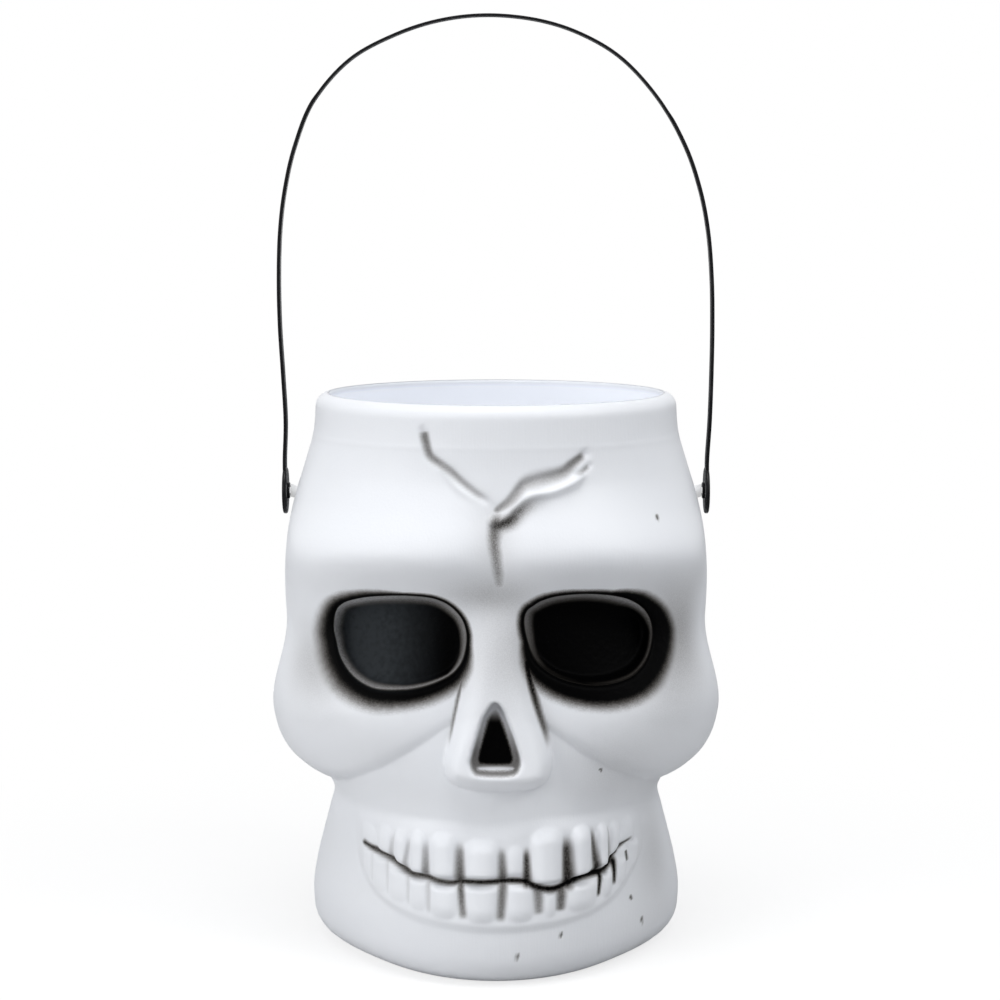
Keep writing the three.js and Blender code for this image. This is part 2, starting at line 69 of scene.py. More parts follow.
# %% [markdown]
# ## Camera
# The photograph was taken from a little above the crown, looking slightly down, from less than a
# metre away. A camera further off with a longer lens would flatten the head, so the distance is kept,
# and the lens, given as a multiple of the sensor's width, frames the cheeks and the strap as there.

# %% Camera
sensor_width = 36
lens_per_sensor = 2.571
looking_down = 6.85
view = bpy.data.cameras.new("portrait_camera")
view.sensor_width = sensor_width
view.lens = sensor_width * lens_per_sensor
camera = bpy.data.objects.new("portrait_camera", view)
camera.location = (0.00138, -0.880, 0.2563)
camera.rotation_euler = (radians(90 - looking_down), 0, 0)
bpy.context.scene.collection.objects.link(camera)
bpy.context.scene.camera = camera
bpy.context.scene.view_settings.view_transform = "Standard"
print("camera", [round(v, 3) for v in camera.location], "lens", round(view.lens, 3))

# %% [markdown]
# ## Writing shaders as sums
# A material is a web of small nodes, which is hard to read when each one is made on its own line.
# Here its maths is written as Python. `Varying` wraps a socket, and its operators add Math nodes.
# `Finish.node` makes every other node: settings first, then the values or links of its sockets.

# %% A small language for materials
class Varying:
    """A number that changes over a surface. Each operator adds one Math node and wraps its result."""

    def __init__(self, finish, socket):
        self.finish = finish
        self.socket = socket

    def maths(self, operation, first, second):
        """The given operation on two numbers or wrapped sockets, as one Math node."""
        made = self.finish.node("ShaderNodeMath", {"operation": operation}, {0: first, 1: second})
        return Varying(self.finish, made.outputs[0])

    def __add__(self, other):
        return self.maths("ADD", self, other)

    def __sub__(self, other):
        return self.maths("SUBTRACT", self, other)

    def __rsub__(self, other):
        return self.maths("SUBTRACT", other, self)

    def __mul__(self, other):
        return self.maths("MULTIPLY", self, other)

    def __truediv__(self, other):
        return self.maths("DIVIDE", self, other)

    def __rtruediv__(self, other):
        return self.maths("DIVIDE", other, self)

    def most(self, other):
        """The larger of the two at each place."""
        return self.maths("MAXIMUM", self, other)

    def least(self, other):
        """The smaller of the two at each place."""
        return self.maths("MINIMUM", self, other)

    def sine(self):
        """The sine of the number, taken as radians."""
        return self.maths("SINE", self, 0)

    __radd__ = __add__
    __rmul__ = __mul__


print("besides + - * / a wrapped number has", [name for name in vars(Varying) if name[0] != "_"])

# %% The nodes of a material
class Finish:
    """The nodes of one material or of the world, made one at a time."""

    def __init__(self, tree):
        self.tree = tree
        tree.nodes.clear()

    def node(self, kind, settings=None, sockets=None):
        """A new node: its settings come first, because they can change which sockets it has."""
        made = self.tree.nodes.new(kind)
        for name, value in (settings or {}).items():
            setattr(made, name, value)
        for name, value in (sockets or {}).items():
            value = value.socket if isinstance(value, Varying) else value
            if isinstance(value, bpy.types.NodeSocket):
                self.tree.links.new(value, made.inputs[name])
            else:
                made.inputs[name].default_value = value
        return made

    def first(self, kind, settings=None, sockets=None):
        """The first output of a new node: a shader, a colour or a direction."""
        return self.node(kind, settings, sockets).outputs[0]

    def value(self, kind, settings=None, sockets=None, output=0):
        """A number that a new node gives, ready for sums."""
        return Varying(self, self.node(kind, settings, sockets).outputs[output])

    def place(self):
        """Where each point lies on the object, in metres."""
        return self.node("ShaderNodeTexCoord").outputs["Object"]

    def fade(self, value, start, end):
        """0 before start, 1 after end, and a smooth S between them."""
        settings = {"interpolation_type": "SMOOTHSTEP"}
        return self.value("ShaderNodeMapRange", settings, {0: value, 1: start, 2: end})

    def grain(self, place, scale, detail=2.0):
        """Cloudy noise round 0.5, with the given number of waves in a metre."""
        sockets = {"Vector": place, "Scale": scale, "Detail": detail}
        return self.value("ShaderNodeTexNoise", None, sockets)

    def bump(self, height, strength, distance):
        """A direction that tilts as if the surface had this relief."""
        sockets = {"Strength": strength, "Distance": distance, "Height": height}
        return self.first("ShaderNodeBump", None, sockets)

    def blend(self, share, first, second):
        """The colour that lies the given share of the way from the first to the second."""
        sockets = {0: share, 6: first, 7: second}
        return self.node("ShaderNodeMix", {"data_type": "RGBA"}, sockets).outputs[2]

    def mix(self, share, first, second):
        """The same for two shaders."""
        return self.first("ShaderNodeMixShader", None, {0: share, 1: first, 2: second})

    def show(self, surface, output="Material"):
        """Puts a shader on the surface, or on the world."""
        self.node("ShaderNodeOutput" + output, None, {"Surface": surface})


def new_finish(name):
    """A material, and its nodes, still empty."""
    material = bpy.data.materials.new(name)
    material.use_nodes = True
    return material, Finish(material.node_tree)


print("shader language ready")

# %% [markdown]
# ## Table
# The bucket stands on a plain pale table in front of white. A table made only of light would lose
# the shadow, and one made only of paint would turn grey, so near the bucket the camera sees dim paint
# with light added to it. Further out that turns into the plain white of the background.

# %% Table top
def table_top(reach):
    """One flat square face on the ground, that reaches this many metres to each side."""
    corners = [(-reach, -reach, 0), (reach, -reach, 0), (reach, reach, 0), (-reach, reach, 0)]
    mesh = bpy.data.meshes.new("table_top")
    mesh.from_pydata(corners, [], [(0, 1, 2, 3)])
    table = bpy.data.objects.new("table_top", mesh)
    bpy.context.scene.collection.objects.link(table)
    return table


def grey(level):
    """A colour with the same red, green and blue."""
    return (level, level, level, 1)


table = table_top(6.0)
table_paint, finish = new_finish("pale_table")
table.data.materials.append(table_paint)
paint = finish.first("ShaderNodeBsdfDiffuse", None, {"Color": grey(0.55)})
dim_paint = finish.first("ShaderNodeBsdfDiffuse", None, {"Color": grey(0.3)})
glow = finish.first("ShaderNodeEmission", None, {"Color": grey(1), "Strength": 0.74})
white = finish.first("ShaderNodeEmission", None, {"Color": grey(1), "Strength": 1.0})
lit = finish.first("ShaderNodeAddShader", None, {0: dim_paint, 1: glow})
away = finish.value("ShaderNodeVectorMath", {"operation": "LENGTH"}, {0: finish.place()}, "Value")
near = finish.mix(finish.fade(away, 0.1, 0.3), lit, white)
seen = finish.value("ShaderNodeLightPath", output="Is Camera Ray")
finish.show(finish.mix(seen, paint, near))
print("table top made")

# %% [markdown]
# ## Light of the room
# The background is white where the camera, a gloss or clear plastic looks at it. Lit by that much
# white the head would lose its shading, so as a lamp the same world is weak and a little cool. Four
# soft lamps do the rest, most of it from above and from the left, as on the photo.

# %% World and lamps
world = bpy.data.worlds.new("plain_studio")
world.use_nodes = True
bpy.context.scene.world = world
room = Finish(world.node_tree)
path = room.node("ShaderNodeLightPath")
to_camera, to_gloss, to_clear = (Varying(room, path.outputs["Is " + kind + " Ray"])
                                 for kind in ("Camera", "Glossy", "Transmission"))
white_share = to_camera.most(to_gloss).most(to_clear)
soft_light = 0.28
strength = white_share * (1 - soft_light) + soft_light
tint = room.blend(white_share, (0.92, 0.97, 1.03, 1), (1, 1, 1, 1))
room.show(room.first("ShaderNodeBackground", None, {"Color": tint, "Strength": strength}), "World")


def soft_box(name, place, aim, size, watts):
    """A square lamp at a place in metres, turned so that it faces the aim."""
    lamp = bpy.data.lights.new(name, "AREA")
    lamp.size = size
    lamp.energy = watts
    holder = bpy.data.objects.new(name, lamp)
    holder.location = place
    toward = holder.location - Vector(aim)
    holder.rotation_euler = toward.to_track_quat("Z", "Y").to_euler()
    bpy.context.scene.collection.objects.link(holder)


soft_box("left_light", (-1.3, -0.3, 0.5), (0, 0, 0.1), 0.7, 3.0)
soft_box("front_light", (-1.0, -0.9, 0.5), (0, 0, 0.1), 0.7, 6.0)
soft_box("right_light", (0.5, -0.35, 0.6), (0, 0, 0.14), 0.35, 1.7)
soft_box("top_light", (0, -0.3, 1.5), (0, 0, 0.14), 0.9, 10.0)
print("room light", soft_light)

# %% [markdown]
# ## Tools for drawing a form
# The head could be sculpted by hand, but then no size could be changed. It is drawn instead, on a
# grid of directions and heights. These helpers say how sizes change with height, how far a place is
# from an outline, and where it lies along a drawn line.

# %% Curves
def smooth(value, start, end):
    """0 before start, 1 after end, and the cubic 3t^2 - 2t^3 between them."""
    t = np.clip((value - start) / (end - start), 0, 1)
    return t * t * (3 - 2 * t)


def bell(offset, reach):
    """exp(-(offset / reach)^2), which is 1 at zero and fades on both sides."""
    return np.exp(-((offset / reach) ** 2))


def dome(share):
    """A rounded edge: 0 at share 0, rising steeply and then level at 1, as 1 - (1 - t)^2.4."""
    return 1 - (1 - np.clip(share, 0, 1)) ** 2.4


def level_curve(rows):
    """A smooth curve through rows of [share of the bucket's height, size]. Each piece is the cubic
    with the given sizes at its ends, and there the slope from one neighbour to the other."""
    heights, sizes = np.array(rows, float).T
    heights = heights * bucket_height
    slopes = np.gradient(sizes, heights)
    slopes[1:-1] = (sizes[2:] - sizes[:-2]) / (heights[2:] - heights[:-2])

    def size_at(height):
        """The cubic of the stretch that the height lies in."""
        at = np.clip(height, 0, heights[-1])
        i = np.clip(np.searchsorted(heights, at) - 1, 0, len(heights) - 2)
        span = heights[i + 1] - heights[i]
        t = (at - heights[i]) / span
        leave = t * (1 - t) ** 2 * span * slopes[i]
        arrive = t * t * (t - 1) * span * slopes[i + 1]
        return sizes[i] + (sizes[i + 1] - sizes[i]) * t * t * (3 - 2 * t) + leave + arrive

    return size_at


def through(points, steps, closed=False):
    """A rounded line through points. From b to c, with neighbours a and d, it is the cubic
    b + ((c - a) t + (2a - 5b + 4c - d) t^2 + (3b - a - 3c + d) t^3) / 2, with t from 0 to 1."""
    points = np.array(points, float)
    if closed:
        spots = np.concatenate([points[-1:], points, points[:2]])
    else:
        before, after = 2 * points[:1] - points[1:2], 2 * points[-1:] - points[-2:-1]
        spots = np.concatenate([before, points, after])
    a, b, c, d = spots[:-3, None], spots[1:-2, None], spots[2:-1, None], spots[3:, None]
    t = (np.arange(steps) / steps)[None, :, None]
    bend = (2 * a - 5 * b + 4 * c - d) * t**2 + (3 * b - a - 3 * c + d) * t**3
    line = (b + 0.5 * ((c - a) * t + bend)).reshape(-1, points.shape[1])
    return line if closed else np.concatenate([line, points[-1:]])


print("a dome rises to", round(float(dome(0.25)), 2), "in its first quarter")

# %% [markdown]
# Paint and relief need to know how far a place is from a drawn line. Rendering the lines to a picture
# and blurring it would give that roughly. Measuring to each short stretch of the line is exact, and
# the nearest stretch also tells how far along the line the place is.

# %% Distances
far_away = 14.0


def nearest_on(x, z, line, ring):
    """For each place: its distance to a line, and the share of the line's length passed there."""
    start = line if ring else line[:-1]
    edge = np.roll(line, -1, 0) - line if ring else line[1:] - line[:-1]
    away = np.stack([x, z], -1)[:, None] - start
    along = np.clip((away * edge).sum(-1) / (edge**2).sum(-1), 0, 1)
    gaps = np.linalg.norm(away - along[..., None] * edge, axis=-1)
    first = gaps.argmin(1)
    rows = np.arange(len(x))
    return gaps[rows, first], (first + along[rows, first]) / len(start)


def near_box(x, z, line, reach):
    """True in the line's own box, grown by the reach, so that far places need no measuring."""
    low = line.min(0) - reach
    high = line.max(0) + reach
    return (x > low[0]) & (x < high[0]) & (z > low[1]) & (z < high[1])


def outline_gap(x, z, outline, reach=far_away):
    """How far each place lies outside a closed outline, below zero inside it. A place is inside
    where a level line from it to the right crosses the outline an odd number of times."""
    gap = np.full(x.shape, reach)
    near = near_box(x, z, outline, reach)
    px, pz = x[near], z[near]
    distance = nearest_on(px, pz, outline, True)[0]
    after = np.roll(outline, -1, 0)
    crosses = (outline[:, 1] > pz[:, None]) != (after[:, 1] > pz[:, None])
    rise = np.where(after[:, 1] == outline[:, 1], 1, after[:, 1] - outline[:, 1])
    meets = outline[:, 0] + (pz[:, None] - outline[:, 1]) / rise * (after[:, 0] - outline[:, 0])
    inside = (crosses & (px[:, None] < meets)).sum(1) % 2 == 1
    gap[near] = np.where(inside, -distance, distance)
    return gap


def line_gap(x, z, line, reach=9.0):
    """How far each place is from a drawn line, and the share of the line's length passed there."""
    gap = np.full(x.shape, reach)
    share = np.zeros(x.shape)
    near = near_box(x, z, line, reach)
    gap[near], share[near] = nearest_on(x[near], z[near], line, False)
    return gap, share


print("distance tools ready")

# %% [markdown]
# ## The head's form
# Seen from above, the head is a ring whose width and reach change with height: wide at the jaw, drawn
# in under the cheeks, wide at the temples and narrow at the round rim. A turned pot would be round
# at every height, so each level is an ellipse of its own.

# %% Plan of the head at each height
rim_width = 124.0
temple_width = 145.4
under_cheek_width = 112.4
jaw_width = 127.4
half_width = level_curve([
    (0, 0.49 * jaw_width), (0.085, 0.5 * jaw_width), (0.138, 0.489 * jaw_width),
    (0.186, 0.472 * jaw_width), (0.234, 0.514 * under_cheek_width),
    (0.275, 0.5 * under_cheek_width), (0.31, 0.525 * under_cheek_width),
    (0.36, 0.583 * under_cheek_width), (0.44, 0.478 * temple_width), (0.53, 0.49 * temple_width),
    (0.66, 0.5 * temple_width), (0.745, 0.493 * temple_width), (0.814, 0.474 * temple_width),
    (0.872, 0.529 * rim_width), (0.931, 0.504 * rim_width), (1, 0.496 * rim_width),
])
front_reach = level_curve([
    (0, 72.9), (0.09, 74), (0.19, 71.4), (0.27, 68.7), (0.34, 68), (0.45, 67), (0.58, 66),
    (0.7, 66.3), (0.745, 67.3), (0.78, 66.7), (0.825, 64.8),
    (0.87, 0.505 * rim_width), (0.93, 0.499 * rim_width), (1, 0.496 * rim_width),
])
back_reach = level_curve([
    (0, 62.7), (0.22, 64), (0.36, 69.9), (0.52, 77.3), (0.64, 78.5), (0.78, 74.2),
    (0.88, 0.55 * rim_width), (0.94, 0.506 * rim_width), (1, 0.496 * rim_width),
])
corner_pinch = level_curve([
    (0, 0.06), (0.16, 0.056), (0.28, 0.01), (0.42, -0.03), (0.66, -0.035), (0.85, -0.008), (1, 0),
])


def plain_radius(turn, height):
    """An ellipse of the half width and the reach: 1 / hypot(sin / width, cos / reach). In front its
    corners are drawn in by a share times sin^2 of twice the turn."""
    ahead = np.cos(turn) > 0
    reach = np.where(ahead, front_reach(height), back_reach(height))
    ellipse = 1 / np.hypot(np.sin(turn) / half_width(height), np.cos(turn) / reach)
    return np.where(ahead, ellipse * (1 - corner_pinch(height) * np.sin(2 * turn) ** 2), ellipse)


print("reach at the eyes", round(float(front_reach(111)), 2))

# %% [markdown]
# The cheeks are rolls that stand over a crisp crease, which climbs from under the ear to the side of
# the nose. The brow is a low swell over each socket. Each is added to the plain ring as a rise that
# fades out by itself, so nothing has to be joined.

# %% Cheeks and brow
crease_turns = np.radians([0, 12, 18, 25, 33, 40, 48, 62, 80, 120, 180])
crease_levels = np.array([92, 86, 81, 75.3, 69.5, 66, 62.5, 59.2, 57.5, 56.5, 56.5])
crease_lifts = np.array([0, 1.6, 3.0, 4.2, 5.3, 6.1, 6.8, 7.7, 8.0, 4.4, 0])


def cheek_rise(turn, height):
    """Over the crease the cheek swells in a dome that is steep at first, then fades to the temple."""
    lift = np.interp(turn, crease_turns, crease_lifts)
    over = height - np.interp(turn, crease_turns, crease_levels)
    front = 1 - smooth(turn, 0.7, 1.3)
    fade_from = 17 + 5 * smooth(turn, 0.2, 1.1)
    above = 1 - smooth(over, fade_from, fade_from + 33)
    back = 1 - smooth(turn, radians(92), radians(150))
    swell = (0.3 * dome(over / 5) + 0.7 * dome(over / (20 + 8 * front))) * (1 + 0.1 * front)
    return lift * swell * above * back


def brow_rise(turn, height):
    """A bell of 5.4 mm round the brow's level, with a long slope over it and a shorter one below."""
    window = 0.65 + 0.35 * smooth(turn, 0, radians(20))
    window = window * (1 - smooth(turn, radians(52), radians(84)))
    level = 139 - 3 * (turn / radians(60)) ** 2
    return 5.4 * window * bell(height - level, np.where(height > level, 13, 10))


def eye_bowl(x, height):
    """A shallow round hollow about each eye: 4.6 mm times exp(-r^3), r from the hollow's middle."""
    across = (np.abs(x) - 32.2) / 32.5
    up = (height - 111) / 22.6
    return 4.6 * np.exp(-((across**2 + up**2) ** 1.5))


def brow_valley(x, height):
    """A valley upwards from between the brows: 2.2 mm times a bell across, faded at both ends."""
    fade = smooth(height, 128, 142) * (1 - smooth(height, 150, 165))
    return 2.2 * fade * bell(x, 8)


def head_radius(angle, height):
    """The plain ring with the cheeks and the brow on it, the same on both sides."""
    turn = np.abs(angle)
    return plain_radius(turn, height) + cheek_rise(turn, height) + brow_rise(turn, height)


print("cheek at the side", round(float(cheek_rise(radians(80), 75)), 2))

# %% [markdown]
# ## The features of the face
# Outlines are drawn as seen straight from the front, in millimetres across and up from the ground.
# Cutting the sockets with a boolean would leave sharp, ragged rims. They and the nose hole are
# pressed straight back instead, as a mould that opens front to back would, down a rounded wall.

# %% Eye sockets
eye_outlines = {
    -1: through([
        (-50.5, 122), (-48.3, 123.3), (-44, 124.8), (-39.7, 125.7), (-35.5, 126.2), (-30.4, 126.6),
        (-25.5, 126.6), (-20.7, 126.2), (-16.6, 124.8), (-13.3, 122.4), (-10.9, 119.4), (-9.6, 116),
        (-9.3, 112.4), (-9.9, 108.1), (-11.2, 104.6), (-13.8, 101.4), (-17.6, 99.1), (-22.5, 97.2),
        (-27.3, 96.1), (-31.4, 95.7), (-35.5, 95.5), (-39.6, 95.8), (-43.2, 97), (-46.5, 98.9),
        (-49.3, 101.6), (-51.5, 105.1), (-52.6, 108.9), (-53.5, 112.8), (-53.3, 116.8), (-52.3, 120),
    ], 4, closed=True),
    1: through([
        (12, 123.7), (14.5, 125.3), (18.5, 126.6), (23.4, 127.2), (28.3, 127.3), (33.3, 126.9),
        (38.3, 126), (42.8, 124.6), (46.7, 122.2), (49.5, 119.2), (51.1, 115.7), (51.6, 111.8),
        (51, 107.6), (49.5, 104), (46.9, 101), (43.9, 99.1), (40.1, 98), (35.9, 97.4),
        (30.9, 97.5), (26, 98.3), (21, 99.8), (16.9, 102), (13.4, 105), (11.4, 108.4),
        (10.1, 112.4), (9.2, 116.6), (9.2, 120), (10.2, 122.3),
    ], 4, closed=True),
}
# Each eye's middle and level, and its half width and half height.
eye_sizes = {-1: (31.4, 111.1, 22.1, 15.5), 1: (30.4, 112.3, 21.2, 14.9)}
socket_depth = 8.6


def round_eye(x, height, side):
    """The direction from an eye's middle: outwards 1 at the ear side, up 1 at the brow side."""
    middle, level, wide, high = eye_sizes[side]
    out = (side * x - middle) / wide
    up = (height - level) / high
    size = np.maximum(np.hypot(out, up), 0.001)
    return out / size, up / size


def sockets(x, height, growth=0.0):
    """The sockets' depth at each place, its share of the full depth, and the gap to the nearer edge.
    The wall runs in over 2.9 mm, 1.1 more at the brow and 0.9 more at the ear, 1.5 at the least.
    Growth widens the outlines by so many millimetres, for the inner side of the wall."""
    share = np.zeros(x.shape)
    gap = np.full(x.shape, far_away)
    for side, outline in eye_outlines.items():
        out, up = round_eye(x, height, side)
        distance = outline_gap(x, height, outline) - growth
        run = np.maximum(2.9 + 1.1 * up + 0.9 * out, 1.5)
        share = np.maximum(share, smooth(-distance, -0.9, run))
        gap = np.minimum(gap, distance)
    return share * socket_depth, share, gap


print("eye outlines", [len(line) for line in eye_outlines.values()])

# %% [markdown]
# The nose grows out of the brow as one dome, highest at its base, so it needs only an outline and a
# height. Its hole is an arch with a straight foot, where the real one has a small ledge.

# %% Nose
nose_outline = through([
    (-9, 131), (-8.6, 117), (-9.2, 109), (-11, 101), (-12.4, 94.5), (-14.1, 86), (-15.4, 80),
    (-16.5, 74.5), (-16.4, 71), (-15.4, 68.2), (-12.6, 65.8), (-7, 64.5), (0, 64.2), (6, 64.2),
    (11.8, 64.7), (15.8, 66.6), (17.6, 70), (18, 74.5), (17.1, 79.5), (15.3, 87.5), (13.2, 94.5),
    (11.6, 101), (10, 109), (9.4, 117), (10, 131),
], 4, closed=True)


def nose_rise(x, height):
    """A dome across the nose's outline, low between the eyes and at its full lift at the base, less a
    bell of 1.5 mm where the bridge dips."""
    inside = np.maximum(-outline_gap(x, height, nose_outline), 0)
    down = np.clip((127 - height) / 58, 0, 1)
    start = smooth(height, 130, 106)
    lift = (1.6 + 8 * down**1.1) * start
    edge = 10 - 3 * smooth(height, 96, 74)
    return lift * dome(inside / edge) - 1.5 * bell(x, 13) * bell(height - 125, 6.5)


hole_outline = through([
    (-5.2, 71), (-6.9, 71.8), (-8, 74), (-7.7, 76.8), (-6, 82.6), (-4.3, 88.2), (-2.7, 91),
    (-1.4, 92.9), (-0.3, 93.4), (0.9, 92.9), (2.4, 91), (3.5, 88.2), (5.7, 82.6), (7.5, 77),
    (7.8, 74), (6.7, 71.7), (4.8, 70.9), (0, 70.7),
], 4, closed=True)
hole_depth = 8.0


def nose_hole(x, height, growth=0.0):
    """The nose hole's depth at each place, whose wall runs in longer at its foot, and the gap."""
    gap = outline_gap(x, height, hole_outline) - growth
    run = 1.2 + 1.8 * smooth(height, 76, 71)
    return smooth(-gap, -0.7, run) * hole_depth, gap


print("nose outline", len(nose_outline), "hole outline", len(hole_outline))

# %% [markdown]
# The teeth stand on a low raised block. One tooth could be repeated, but on the real mould no two are
# alike, so each has its own row of width, height and lift. The mouth's line is pressed in afterwards.

# %% Teeth
# Each row is [left, right, gum end, biting end, lift].
upper_teeth = [
    (-44, -38.4, 48.6, 40.8, 1.0), (-38.2, -32.9, 49.6, 39.4, 1.4), (-32.7, -27.5, 49.6, 37.4, 1.7),
    (-27.3, -21.6, 50.0, 36.0, 2.0), (-20.8, -12, 50.4, 35.8, 2.5), (-10, 1.5, 49, 36.4, 3.6),
    (3.4, 9, 46.9, 37.2, 1.2), (10.8, 21.6, 51.6, 34.2, 3.4), (23.8, 30.6, 51, 34.6, 2.6),
    (32.2, 36.1, 50.6, 36.2, 2.0), (36.3, 39.8, 50.2, 38.8, 1.6), (40, 45, 50, 41.6, 1.1),
]
lower_teeth = [
    (-43.4, -40.2, 30.2, 40, 0.5), (-39.8, -35, 27.4, 38.2, 0.6), (-34.6, -28.2, 25.7, 35.8, 0.7),
    (-27.8, -21.6, 24.2, 34.4, 0.8), (-21.2, -12, 22.8, 33.2, 1.2), (-9.8, 0.6, 22.2, 33.8, 1.5),
    (3.2, 12.2, 22.4, 34.2, 1.4), (15.2, 19.3, 23.2, 31.2, 0.9), (22.4, 32.6, 23.6, 32.4, 1.5),
    (34.2, 37.4, 26, 34, 1.2), (39, 42, 28.4, 37.2, 1.0), (43, 47, 32.2, 41.4, 0.8),
]
tooth_block = through([
    (-45.6, 50), (-46.2, 44), (-45.2, 38), (-43.6, 31.5), (-40, 27), (-34, 23.4), (-24, 21),
    (-12, 20), (0, 19.7), (12, 19.9), (24, 20.8), (34, 22.8), (41, 26.8), (46, 33), (48, 38),
    (47.6, 44), (45.6, 50), (38, 53), (26, 53.6), (13, 54), (0, 52.4), (-12, 53), (-26, 53),
    (-38, 52.6),
], 3, closed=True)
mouth_line = through([
    (-43, 42.4), (-39.5, 40.6), (-35, 39.5), (-30.3, 37.2), (-27, 35.4), (-22.5, 35.4), (-18.5, 34.4),
    (-14, 34.3), (-11, 35), (-5, 35), (0, 35.3), (3, 35.6), (6.5, 35.5), (10, 34.9), (13, 33.2),
    (16.5, 32.1), (19.5, 32), (23, 33.1), (27.5, 34.5), (32, 34.7), (35, 34.8), (37, 36.5),
    (38.6, 39.6), (41, 41.6), (44, 43.6),
], 4)


def tooth_rise(x, height):
    """The highest tooth at each place: its lift times 1 - |across|^2.6, rounded off at the gum end
    and at the biting end by 1 - (1 - t)^2."""
    rise = np.zeros(x.shape)
    for left, right, gum, bite, lift in upper_teeth + lower_teeth:
        across = np.abs(x - (left + right) / 2) / ((right - left) / 2)
        from_gum = (height - gum) * np.sign(bite - gum)
        from_bite = abs(bite - gum) - from_gum
        crown = np.clip(1 - across**2.6, 0, 1)
        gum_end = np.clip(from_gum / 4.5 - 0.5 * across**3, 0, 1)
        bite_end = np.clip(from_bite / 1.8, 0, 1)
        rounded = (1 - (1 - gum_end) ** 2) * (1 - (1 - bite_end) ** 2)
        rise = np.maximum(rise, lift * crown * rounded)
    return rise


def block_rise(x, height):
    """A step of 1.4 mm at the block's outline, softer at the top than at the foot."""
    inside = -outline_gap(x, height, tooth_block)
    return 1.4 * smooth(inside, -1.4, 4 - 2 * smooth(height, 46, 34))


print("teeth", len(upper_teeth), "over", len(lower_teeth))

# %% [markdown]
# The crack could be drawn in the finish alone. It is pressed into the form, because its raised edges
# catch the light: a groove along each arm, with low ridges where the real crack has lifted.

# %% Crack
crack_left = through([(-23.4, 180), (-22.4, 175.6), (-21.2, 172), (-18.6, 169.9), (-14.7, 167.3),
                      (-10.5, 163.6), (-6.1, 160.2), (-3.5, 158.6), (-1.7, 156.4)], 4)
crack_right = through([(29, 172.3), (24.5, 169), (21.4, 166.6), (15, 164.9), (10, 163.5), (8, 162),
                       (4.5, 157.8), (0.4, 154.8)], 4)
crack_branch = through([(30.4, 168.4), (28, 166.7), (25.3, 165.6)], 4)
crack_stem = through([(-1.5, 156), (-0.6, 149), (0.9, 145.8), (0.5, 141.6), (0.3, 136),
                      (0.1, 130)], 4)
crack_ridge = through([(29, 167.6), (26, 164.3), (18.5, 161), (12.4, 160.1), (8.6, 158.6),
                       (5.7, 155.8), (2, 152.3), (-0.6, 151.6)], 4)
left_lip = through([(-18.9, 168.8), (-16, 167.2), (-13.2, 162.8), (-8.9, 159.5), (-4.1, 156.8)], 4)


def crack_relief(x, height):
    """Two bells along the ridge and the left arm's lip, less the deepest bell along the grooves."""
    gap, share = line_gap(x, height, crack_ridge)
    relief = 2.4 * bell(gap, 1.35) * smooth(share, 0, 0.2)
    gap, share = line_gap(x, height, left_lip)
    relief += 0.7 * bell(gap, 1.1) * smooth(share, 0, 0.2) * (1 - smooth(share, 0.6, 1))
    groove = np.zeros(x.shape)
    arms = [(crack_left, 0.9, 1.2), (crack_right, 0.9, 1.2), (crack_branch, 0.6, 0.8),
            (crack_stem, 0.9, 1.6)]
    for line, depth, wide in arms:
        gap, share = line_gap(x, height, line)
        fade = 1 - 0.7 * smooth(share, 0.7, 1) * (line is crack_stem)
        groove = np.maximum(groove, fade * depth * bell(gap, wide))
    return relief - groove


print("crack arms", len(crack_left), len(crack_right), len(crack_stem))

# %% [markdown]
# ## Black lines between the teeth and in the crack
# The paint lies in the grooves, thicker in some than in others. It could be painted on a picture, but
# here each line is drawn with its own widths and strengths, the same way as its groove. What the
# finish gets is one number for every place: the ink of the darkest line there.

# %% Ink lines
# Each row is [x and z of its top, x and z of its foot, half width at both, ink at both].
upper_gaps = [
    (-22.1, 48.2, -22.1, 37, 0.6, 0.9, 0.15, 0.5), (-11.4, 48.5, -11.2, 35.6, 1.0, 1.4, 0.4, 0.75),
    (1.7, 47, 2.3, 36.2, 0.9, 1.3, 0.35, 0.75), (9.6, 47, 9.9, 34.8, 0.7, 1.2, 0.75, 0.95),
    (22.2, 49.6, 22.9, 33.2, 1.2, 1.7, 0.8, 0.95), (30.3, 51, 32.3, 35.4, 0.6, 0.9, 0.5, 0.95),
    (35.6, 50, 36, 39, 0.4, 0.5, 0.4, 0.5), (-32.5, 48.6, -33.6, 39, 0.4, 0.6, 0.08, 0.25),
    (-27.2, 48.6, -28.9, 37, 0.4, 0.6, 0.1, 0.3),
]
lower_gaps = [
    (-11.2, 34.4, -10.2, 22.8, 0.9, 1.0, 0.75, 0.5), (2.3, 34.8, 1.4, 22.2, 1.3, 1.1, 0.65, 0.55),
    (13.4, 32.8, 13.7, 24, 1.4, 1.1, 0.55, 0.45), (20.9, 31.6, 20.5, 24.4, 1.4, 1.2, 0.75, 0.6),
    (33.6, 34.4, 32.8, 26.6, 0.6, 0.45, 1.1, 0.9), (38.2, 37.2, 38.2, 28.9, 0.6, 0.45, 1.1, 0.9),
    (42.2, 38.8, 42.6, 35.4, 0.3, 0.3, 0.9, 0.8), (-40, 39.5, -40, 29, 0.4, 0.3, 0.06, 0.04),
    (-34.8, 38, -34.8, 26.6, 0.4, 0.3, 0.12, 0.06), (-28, 35.6, -28, 25, 0.5, 0.4, 0.14, 0.08),
    (-21.4, 34, -21.3, 23.4, 0.6, 0.6, 0.2, 0.12),
]
